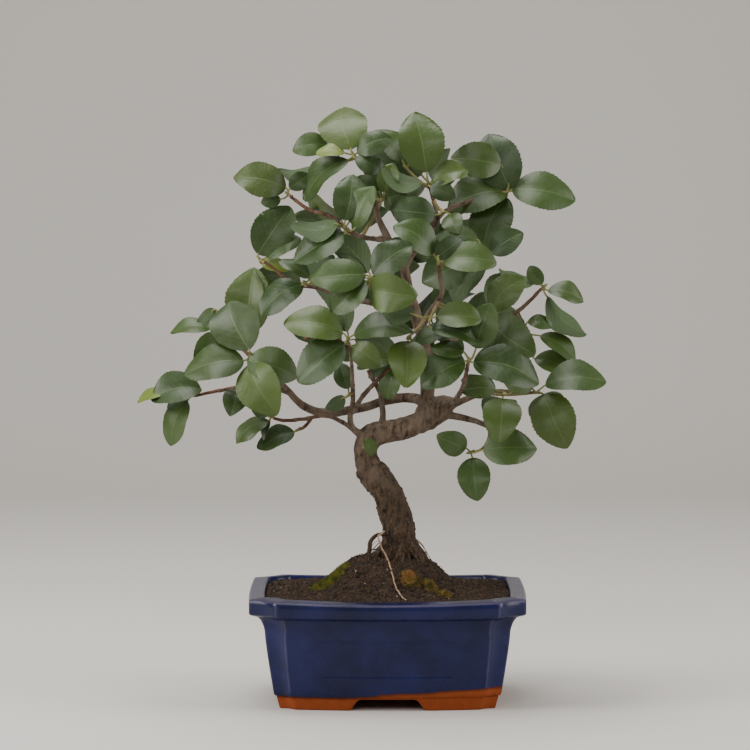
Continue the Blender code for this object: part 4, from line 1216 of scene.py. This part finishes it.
def make_roots(shape):
    arch = [at(*place) for place in ARCH_ROOT]
    arch.append(on_soil(arch[-1].x - 0.5, arch[-1].y - 0.5, -2.0))
    for strand in range(3):
        turns = [1.1 * i + 2.1 * strand for i in range(len(arch))]
        rope = [place + Vector((math.cos(turn), math.sin(turn), 0)) * STRAND_OFFSET
                for place, turn in zip(arch, turns)]
        fine, sizes = smooth_path(rope, [0.9, 0.8, 0.75, 0.7, 0.7, 0.8], 1.2)
        shape.tube(fine, sizes, 8, lumps=0.25)
    thin = [at(-2, 93, -7), at(-5, 89, -11.5)]
    thin += [on_soil(x, share * SOIL_HALF_Y, 1.0) for x, share in THIN_ROOT]
    fine, sizes = smooth_path(thin, [0.6, 0.55, 0.5, 0.45, 0.45, 0.42, 0.4, 0.3], 1.5)
    fine = [place + noise.noise_vector(place * 0.3) * 0.5 for place in fine]
    shape.tube(fine, sizes, 7, kind=2)
    dice = random.Random(31)
    for _ in range(HAIR_ROOTS):
        angle = dice.uniform(math.radians(175), math.radians(350))
        reach = dice.uniform(8, 12)
        start = Vector((FOOT_X + reach * math.cos(angle), reach * math.sin(angle),
                        COLLAR + dice.uniform(2, 11)))
        length = dice.uniform(3, 12)
        swing = angle + dice.uniform(-0.7, 0.7)
        x, y = start.x + length * math.cos(swing), start.y + length * math.sin(swing)
        end = on_soil(x, y, 0.2)
        middle = start.lerp(end, 0.45) + Vector((dice.uniform(-2, 2), -1.5, dice.uniform(0, 3)))
        radius = dice.uniform(0.12, 0.32)
        fine, sizes = smooth_path([start, middle, end, on_soil(x + dice.uniform(-6, 6), y - 4, 0.1)],
                                  [radius, radius, 0.8 * radius, 0.3 * radius], 1.6)
        shape.tube(fine, sizes, 5, kind=1)


def make_wood():
    shape = thin_wood()
    make_roots(shape)
    thin = shape.piece("twigs_and_roots", [BARK, ROOT, PALE_ROOT])
    whole = joined("wood_fine", [thick, thin])
    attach(whole, "root")
    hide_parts("trunk")
    return whole


wood = make_wood()
print("wood:", len(wood.data.polygons), "faces")

# %% [markdown]
# ## Leafy shoots
# Each shoot is a thin twig that ends in a fan of leaves, each on its own stalk. A leaf is a thin
# closed blade: broad, with a blunt point, a finely toothed edge, a fold along its midrib and
# an arch from foot to tip. Cards with a cut-out picture would be lighter, but they have no edge, no
# thickness and no shadow of their own, so every leaf here is real geometry. Each blade lies where
# the measured leaf lies, and only its fine shape is new.

# %% Leaf finish
def leaf_finish():
    leaf = Finish("leaf", Coat_Roughness=0.30, Coat_IOR=1.45, Specular_IOR_Level=0.34)
    place = leaf.place()
    along, over, _ = leaf.axes(leaf.node("ShaderNodeUVMap", {"uv_map": "UVMap"}))
    out = (over * 2 - 1).math("ABSOLUTE")
    tone = leaf.attribute("tone")
    young = leaf.attribute("young")
    under = leaf.attribute("under").between(0.4, 0.6)
    veins = (along * 8 - out * 2.6 + 10).math("FRACT")
    side_vein = (veins - 0.5).math("ABSOLUTE").between(0.10, 0.0) * out.between(1.0, 0.7)
    midrib = out.between(0.045, 0.012)
    fine = leaf.node("ShaderNodeTexVoronoi", {"feature": "DISTANCE_TO_EDGE"},
                     {"Vector": place, "Scale": 1100.0})
    net = fine.between(0.10, 0.0)
    cloud = leaf.noise(place, 130.0, 4.0, 0.6)
    deep = leaf.mix(tone, (0.013, 0.034, 0.004), (0.038, 0.074, 0.010))
    grey = leaf.mix(cloud.between(0.42, 0.70) * 0.35, deep, (0.058, 0.092, 0.030))
    fresh = leaf.mix(young, grey, (0.19, 0.25, 0.030))
    lined = leaf.mix(side_vein * 0.14 + net * 0.08, fresh, (0.085, 0.150, 0.050))
    ribbed = leaf.mix(midrib * 0.40, lined, (0.12, 0.19, 0.060))
    dust = leaf.noise(place, 520.0, 3.0, 0.7).between(0.63, 0.74)
    top = leaf.mix(dust * 0.14, ribbed, (0.22, 0.27, 0.18))
    below = leaf.mix(side_vein * 0.4 + midrib * 0.5, (0.050, 0.085, 0.030), (0.13, 0.18, 0.075))
    colour = leaf.mix(under, top, below)
    pucker = side_vein * -0.22 + cloud * 0.6 + net * -0.12 - midrib * 0.4
    rough = 0.40 + under * 0.25 + (cloud - 0.5) * 0.25
    normal = leaf.bump(pucker, 0.45, 0.0004)
    return leaf.set(Base_Color=colour, Roughness=rough, Normal=normal, Coat_Weight=0.16 - under * 0.15)


def stalk_finish():
    stalk = Finish("stalk", Roughness=0.5)
    place = stalk.place()
    tone = stalk.noise(place, 150.0, 2.0).between(0.35, 0.65)
    young = stalk.attribute("young")
    bark = stalk.mix(tone, (0.10, 0.042, 0.020), (0.20, 0.11, 0.045))
    green = stalk.mix(tone, (0.13, 0.16, 0.035), (0.24, 0.25, 0.06))
    return stalk.set(Base_Color=stalk.mix(young, bark, green),
                     Normal=stalk.bump(stalk.noise(place, 1600.0), 0.4, 0.0003))


LEAF = leaf_finish()
STALK = stalk_finish()

# %% The plan of the shoots
# Each shoot: name, how far its twin at the back is turned inwards in degrees (None where it has
# no twin), where its leaf stalks meet (u, v, depth), and its leaves: foot u, v, tip u, v, width
# as seen, and -1 where its underside shows
SHOOTS = [
    ("right_top", None, (69, 285.8, -8), [
        (67.5, 285, 34, 275, 17, 1), (69, 286, 57, 317, 25, 1), (70, 286.5, 105, 280, 19, 1),
        (67, 282, 54, 252, 21, 1), (64, 300, 36, 304, 20, 1)]),
    ("left_high", None, (-72, 247.5, -5), [
        (-73, 250, -55, 276, 23, 1), (-68, 248.5, -49, 259, 10, 1), (-71, 245, -56, 241, 8, 1)]),
    ("left_front", None, (-77, 194, -22), [
        (-78, 196, -90, 221, 27, 1), (-79, 190, -51, 181, 19, 1), (-78, 188, -62, 161, 24, 1),
        (-81, 190, -114, 182, 19, 1)]),
    ("left_rear", None, (-91, 205.6, 14), [
        (-77, 206, -75, 242, 24, 1), (-69, 214, -74, 241, 6, 1), (-97, 219, -107, 209, 10, -1),
        (-100, 208, -122, 206, 8, 1), (-92, 203, -108, 187, 19, 1)]),
    ("left_tip", None, (-111, 170, 0), [
        (-105, 174, -133, 168, 15, 1), (-113, 167, -122, 142, 13, 1), (-113, 171.5, -124, 163, 9, -1),
        (-124, 172, -141, 166.5, 5, 1)]),
    ("left_under", None, (-66, 158.4, -10), [
        (-66, 160, -77, 165, 8, -1), (-67, 156, -85, 143, 8, 1), (-66.5, 156, -70, 145, 5, 1),
        (-85, 173, -88, 160, 14, 1)]),
    ("left_spur", None, (-50.8, 150.6, -6), [(-52.5, 149.5, -73, 140, 12, 1)]),
    ("top", None, (-19.6, 306.6, -6), [
        (-20.5, 309, -25.5, 331, 27, 1), (-24, 307, -40, 306.5, 6, 1), (-18, 304, -2, 296, 10, 1),
        (-17, 307, 2, 315, 12, 1), (-22, 303, -46, 280, 12, 1)]),
    ("top_left", None, (-27, 303.5, 8), [
        (-33, 311, -53, 308, 13, 1), (-33, 301, -61, 297, 9, -1), (-28, 300, -45, 292, 10, 1)]),
    ("upper_left", None, (-56, 284, -4), [
        (-57, 287.5, -86, 293.5, 19, 1), (-60, 281, -71, 279, 8, 1), (-55, 287, -44, 295, 10, 1)]),
    ("upper_front", REAR_TURN, (-24, 265, -26), [
        (-24, 269, -20, 294, 19, 1), (-24, 261.5, -52, 246, 17, 1), (-28, 267, -54, 266, 12, -1),
        (-18, 265, -8, 288, 14, 1)]),
    ("left_middle", REAR_TURN, (-47, 234.5, -22), [
        (-48, 233, -71, 215, 16, 1), (-44, 237, -61, 246, 8, 1), (-42, 238, -30, 249, 10, -1)]),
    ("heart", REAR_TURN, (-9.4, 236.4, -50), [
        (-8, 238, 14, 255, 17, 1), (-10, 230, 16, 227, 21, 1), (-12, 235, -31, 217, 17, 1),
        (-12.5, 238.5, -43, 236, 18, 1)]),
    ("heart_right", REAR_TURN, (28.4, 246.6, -44), [
        (28.5, 249, 42, 258, 12, 1), (31, 246, 61, 245, 14, 1), (26, 250, 4, 266, 15, 1)]),
    ("right_middle", REAR_TURN, (53.5, 250, -28), [
        (52, 246, 20, 234, 19, 1), (51, 258, 27, 260, 12, 1), (58, 251, 76, 262, 14, 1)]),
    ("front_right", REAR_TURN, (24, 213.6, -52), [
        (28, 215, 53, 213, 14, 1), (25, 208, 51, 200, 11, 1), (15, 216, -4, 222, 13, -1)]),
    ("front_low", REAR_TURN, (12, 203.6, -44), [(11.6, 201, 10.4, 177, 21, 1), (16, 200, 38, 207, 9, 1)]),
    ("front_left", REAR_TURN, (-22.4, 202.4, -48), [
        (-25, 205.6, -58, 210.5, 17, 1), (-24, 199, -50, 178, 20, 1), (-19, 204.6, 14, 205.5, 14, 1),
        (-20, 198, -4, 187, 14, 1)]),
    ("twig_leaf", REAR_TURN, (5.6, 189.4, -14), [(6.6, 187, 0.4, 168, 12, 1), (2, 190, -17, 186, 10, 1)]),
    ("fork_leaf", None, (-22.4, 170, -14), [(-24, 169.4, -35, 163, 8, -1), (-22, 174, -27, 188, 11, 1)]),
    ("elbow_leaf", None, (-13, 141, -12), [(-12, 146, -8.8, 136, 7, 1)]),
    ("right_front", 0.0, (46, 190.6, -50), [
        (43.6, 189.6, 19, 175.6, 17, 1), (48.4, 189, 85, 177, 20, 1), (43, 195, 25, 197, 9, 1),
        (50, 197, 58, 222, 17, 1)]),
    ("right_fan", 0.0, (56, 214.4, -34), [(58, 212.6, 82, 195, 24, 1), (58, 219, 77, 236, 16, 1)]),
    ("right_end", 0.0, (85, 171.8, -20), [
        (88, 171, 101, 142, 24, 1), (89, 176, 123, 177.5, 13, 1), (82, 174, 64, 184, 14, 1)]),
    ("right_under", 0.0, (66, 171.6, -25), [(65, 168.5, 62.6, 146, 21, 1), (61, 173.6, 42, 173, 11, 1)]),
    ("right_low", None, (46.8, 138, -14), [
        (48, 135, 50.4, 112, 18, 1), (54, 139.4, 84, 140, 20, 1), (44.6, 140.4, 28, 148, 14, 1)]),
    ("right_wing", None, (88.2, 231.8, 5), [
        (87, 233, 80, 243, 9, 1), (90.5, 229.6, 110, 223, 9, 1), (90, 226, 112, 205, 10, -1),
        (84, 235, 63, 242, 8, -1)]),
    ("right_side", None, (79.6, 204, 2), [
        (83, 191, 103, 182, 11, 1), (86, 204, 106, 190, 9, 1), (79, 212, 93, 209, 7, 1)]),
    ("crown_middle", REAR_TURN, (-3, 281, -16), [
        (-1.6, 281, 11, 284, 10, 1), (-5, 285, -20, 291, 11, 1), (-2, 284.5, 3, 301, 12, 1)]),
    ("crown_back", None, (10, 299, 6), [(8, 303, -8, 319, 13, 1), (13, 302, 30, 311, 14, 1)]),
    ("crown_right", REAR_TURN, (22.6, 291.2, -18), [
        (22, 296, 15, 329, 25, 1), (20, 290, -3, 298, 9, -1), (25, 290, 45, 297, 11, 1),
        (24, 288, 38, 282, 11, 1)]),
    ("crown_low", REAR_TURN, (31, 274.6, -28), [(27, 272, 2, 275, 16, 1), (35, 272.6, 40, 262, 12, 1)]),
]

LEAF_SHAPE = 0.72
MEASURED_DROOP = 0.10  # how far the measured leaves' tips hang, over their length
VIEWER = Vector((0, -1, 0))


# %% Where each leaf lies
def turned(star, u, v, angle):
    """A place of the plan, turned about a shoot's middle: upwards from the outside."""
    angle = math.radians(angle if star[0] > FOOT_X else -angle)
    across, up = u - star[0], v - star[1]
    return (star[0] + across * math.cos(angle) - up * math.sin(angle),
            star[1] + across * math.sin(angle) + up * math.cos(angle))


def leaf_frame(foot, tip, seen_width, facing):
    """Tip, upper side and width of a leaf from how wide it looks."""
    flat = tip - foot
    drawn = flat.length
    full = LEAF_SHAPE * drawn
    way = flat.normalized()
    if seen_width <= full:
        roll = math.acos(seen_width / full)
        sideways = way.cross(VIEWER)
        if sideways.z < 0:
            sideways = -sideways
        return tip, (VIEWER * math.cos(roll) + sideways * math.sin(roll)) * facing, full
    length = seen_width / LEAF_SHAPE
    lean = math.sqrt(max(0.0, length * length - drawn * drawn))
    toward = 1.0 if facing > 0 and way.z < 0.5 else -1.0
    out = (VIEWER * drawn - way * (lean * toward)).normalized()
    return tip + VIEWER * (lean * toward), out * facing, seen_width


def measured_points(node):
    """The measured shoot's corners, in millimetres from the pot's middle."""
    mesh = frame["nodes"][node].data
    tree = kdtree.KDTree(len(mesh.vertices))
    for index, vertex in enumerate(mesh.vertices):
        tree.insert(vertex.co / MM - POT_MIDDLE, index)
    tree.balance()
    return tree


def settled(star, back, ends, seen_width, facing, shrink, measured):
    """Foot, tip, upper side and width of a leaf at the depth where the measured one lies."""
    best = None
    for step in range(60):
        shift = (step + 1) // 2 * (2.0 if step % 2 == 0 else -2.0)
        depth = star[2] + shift
        foot, tip = at(*ends[:2], depth), at(*ends[2:], depth)
        tip, out, width = leaf_frame(foot, tip, seen_width, facing)
        if back:
            fore = at(*ends[:2], depth).y
            foot = at(*ends[:2], -depth)
            tip.y = foot.y - (tip.y - fore)
            tip = foot + (tip - foot) * shrink
            out = Vector((out.x, -out.y, out.z))
        along = (tip - foot).normalized()
        across = along.cross(out).normalized()
        out = across.cross(along)
        miss = measured.find(tip - out * (MEASURED_DROOP * (tip - foot).length))[2]
        if best is None or miss < best[0]:
            best = (miss, foot, tip, out, width * shrink)
        if miss < 0.05:
            break
    return best


# %% One leaf blade
BLADE_STEPS = 50
VEIN_HEIGHT = 0.0015  # relief of the side veins, over the leaf's length
HALF_STEPS = 4
TEETH = 15
BLADE_GROWTH = 1.04  # the fine leaf is a little broader and longer than the measured one


def blade_width(s):
    """Half the blade's width along its length, as a share of its greatest, with its teeth."""
    round_shape = (s ** 0.60) * ((1 - s) ** 0.70) / 0.408
    tooth = (s * TEETH) % 1.0
    return round_shape * (1 + 0.065 * (tooth - 0.5) * smooth_step(0.1, 0.3, s))


def add_blade(shape, foot, tip, out, width, dice, young):
    along = tip - foot
    length = along.length * (1 + (BLADE_GROWTH - 1) / 2)
    along.normalize()
    across = along.cross(out).normalized()
    out = across.cross(along)
    half = width / 2 * BLADE_GROWTH
    arch = dice.uniform(0.11, 0.20)
    fold = dice.uniform(0.12, 0.32)
    curl = dice.uniform(0.04, 0.22)
    sway = dice.uniform(-0.05, 0.05)
    twist = dice.uniform(-0.28, 0.28)
    wave = dice.uniform(0.02, 0.07) * length
    phase = dice.uniform(0, 6.28)
    thick = 0.16 + 0.006 * length
    points, under, uvs = [], [], []
    for side in (1.0, -1.0):
        for i in range(BLADE_STEPS + 1):
            s = 0.004 + 0.992 * (i / BLADE_STEPS)
            reach = half * blade_width(s)
            spine = foot + along * (s * length) + across * (sway * length * math.sin(math.pi * s))
            spine = spine + out * (4 * arch * length * s * (1 - s) ** 1.1)
            roll = twist * s
            flat = across * math.cos(roll) + out * math.sin(roll)
            for j in range(-HALF_STEPS, HALF_STEPS + 1):
                t = j / HALF_STEPS
                edge = abs(t)
                lift = reach * (fold * edge - curl * edge * edge)
                lift += wave * edge * edge * math.sin(phase + 9 * s + (0.9 if t > 0 else 0.0)) * s
                vein = math.cos(2 * math.pi * (8 * s - 2.6 * edge)) * math.sin(math.pi * edge)
                lift += VEIN_HEIGHT * length * vein
                if side < 0:
                    rib = 0.30 * (1 - s) if j == 0 else 0.0
                    lift -= thick * (0.35 if edge == 1 else 1.0) + rib
                points.append(spine + flat * (reach * t) + out * lift)
                under.append(0.0 if side > 0 else 1.0)
                uvs.append((s, (t + 1) / 2))
    row = 2 * HALF_STEPS + 1
    low = row * (BLADE_STEPS + 1)
    faces = []
    for i in range(BLADE_STEPS):
        for j in range(row - 1):
            a = i * row + j
            faces.append((a, a + 1, a + row + 1, a + row))
            faces.append((low + a, low + a + row, low + a + row + 1, low + a + 1))
        left, right = i * row, i * row + row - 1
        faces.append((left, left + row, low + left + row, low + left))
        faces.append((right + row, right, low + right, low + right + row))
    last = BLADE_STEPS * row
    for j in range(row - 1):
        faces.append((j + 1, j, low + j, low + j + 1))
        faces.append((last + j, last + j + 1, low + last + j + 1, low + last + j))
    shape.uvs += uvs
    shape.add(points, faces, 0, under=under, tone=dice.random(), young=young)
    return along


# %% A shoot: twig, stalks and blades
TWIG_RADIUS = 0.9
YOUNG_LEAVES = {"top": (1,), "left_high": (2,), "left_tip": (2, 3), "left_rear": (2,), "right_wing": (2, 3)}


def wood_surface():
    mesh = frame["nodes"]["trunk"].data
    corners = [vertex.co / MM - POT_MIDDLE for vertex in mesh.vertices]
    return BVHTree.FromPolygons(corners, [tuple(face.vertices) for face in mesh.polygons])


wood_near = wood_surface()


def make_shoot(name, back, turn, star, leaves, shrinks, dice):
    node = ("rear_" if back else "shoot_") + name
    shape = Shape()
    shape.uvs = []
    knot = at(star[0], star[1], -star[2] if back else star[2])
    on_wood = wood_near.find_nearest(knot)[0]
    start = on_wood + (knot - on_wood).normalized() * 0.6
    inside = on_wood - (knot - on_wood).normalized() * 0.8
    gap = (knot - start).length
    sag = Vector((0, 0, -0.06 * gap))
    path = [inside, inside.lerp(knot, 0.5) + sag + noise.noise_vector(knot * 0.1) * (0.05 * gap), knot]
    fine, sizes = smooth_path(path, [1.15, TWIG_RADIUS, 0.75], 1.2)
    shape.tube(fine, sizes, 8, 1, young=[0.25 + 0.5 * i / len(fine) for i in range(len(fine))])
    bud = [knot, knot + (knot - start).normalized() * 1.2, knot + (knot - start).normalized() * 2.8]
    shape.tube(bud, [0.9, 0.8, 0.1], 8, 1, young=0.9)
    shape.uvs += [(0.0, 0.0)] * len(shape.points)
    measured = measured_points(node)
    worst = 0.0
    for number, (u0, v0, u1, v1, seen_width, facing) in enumerate(leaves):
        ends = (u0, v0, u1, v1)
        if back:
            ends = (*turned(star, u0, v0, turn), *turned(star, u1, v1, turn))
        stalk = knot.lerp(start, min(0.15 + 0.1 * number, (0.4 + number * 1.1) / gap))
        shrink = shrinks[number]
        miss, foot, tip, out, width = settled(star, back, ends, seen_width, facing, shrink, measured)
        worst = max(worst, miss)
        young = dice.uniform(0.6, 0.9) if number in YOUNG_LEAVES.get(name, ()) and not back else 0.0
        young = max(young, 0.18 * dice.random() ** 3)
        along = add_blade(shape, foot, tip, out, width, dice, young)
        reach = (foot - stalk).length
        bend = stalk.lerp(foot, 0.55) - along * (0.18 * reach) + Vector((0, 0, -0.10 * reach))
        fine, sizes = smooth_path([stalk, bend, foot, foot + along * 2.5], [0.62, 0.5, 0.5, 0.25], 1.0)
        before = len(shape.points)
        shape.tube(fine, sizes, 7, 1, young=0.85)
        shape.uvs += [(0.0, 0.0)] * (len(shape.points) - before)
    piece = shape.piece(node + "_fine", [LEAF, STALK])
    layer = piece.data.uv_layers.new(name="UVMap")
    for loop in piece.data.loops:
        layer.data[loop.index].uv = shape.uvs[loop.vertex_index]
    piece.data.set_sharp_from_angle(angle=math.radians(60))
    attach(piece, "root")
    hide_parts(node)
    return len(leaves), worst


def make_shoots():
    chance = random.Random(7)
    dice = random.Random(19)
    count = 0
    for name, turn, star, leaves in SHOOTS:
        for back in (False,) if turn is None else (False, True):
            shrinks = [chance.uniform(0.9, 1.0) if back else 1.0 for _ in leaves]
            made, worst = make_shoot(name, back, turn, star, leaves, shrinks, dice)
            count += made
            if worst > 0.1:
                print("a leaf lies off its place:", name, back, round(worst, 2))
    print(count, "leaves")


make_shoots()
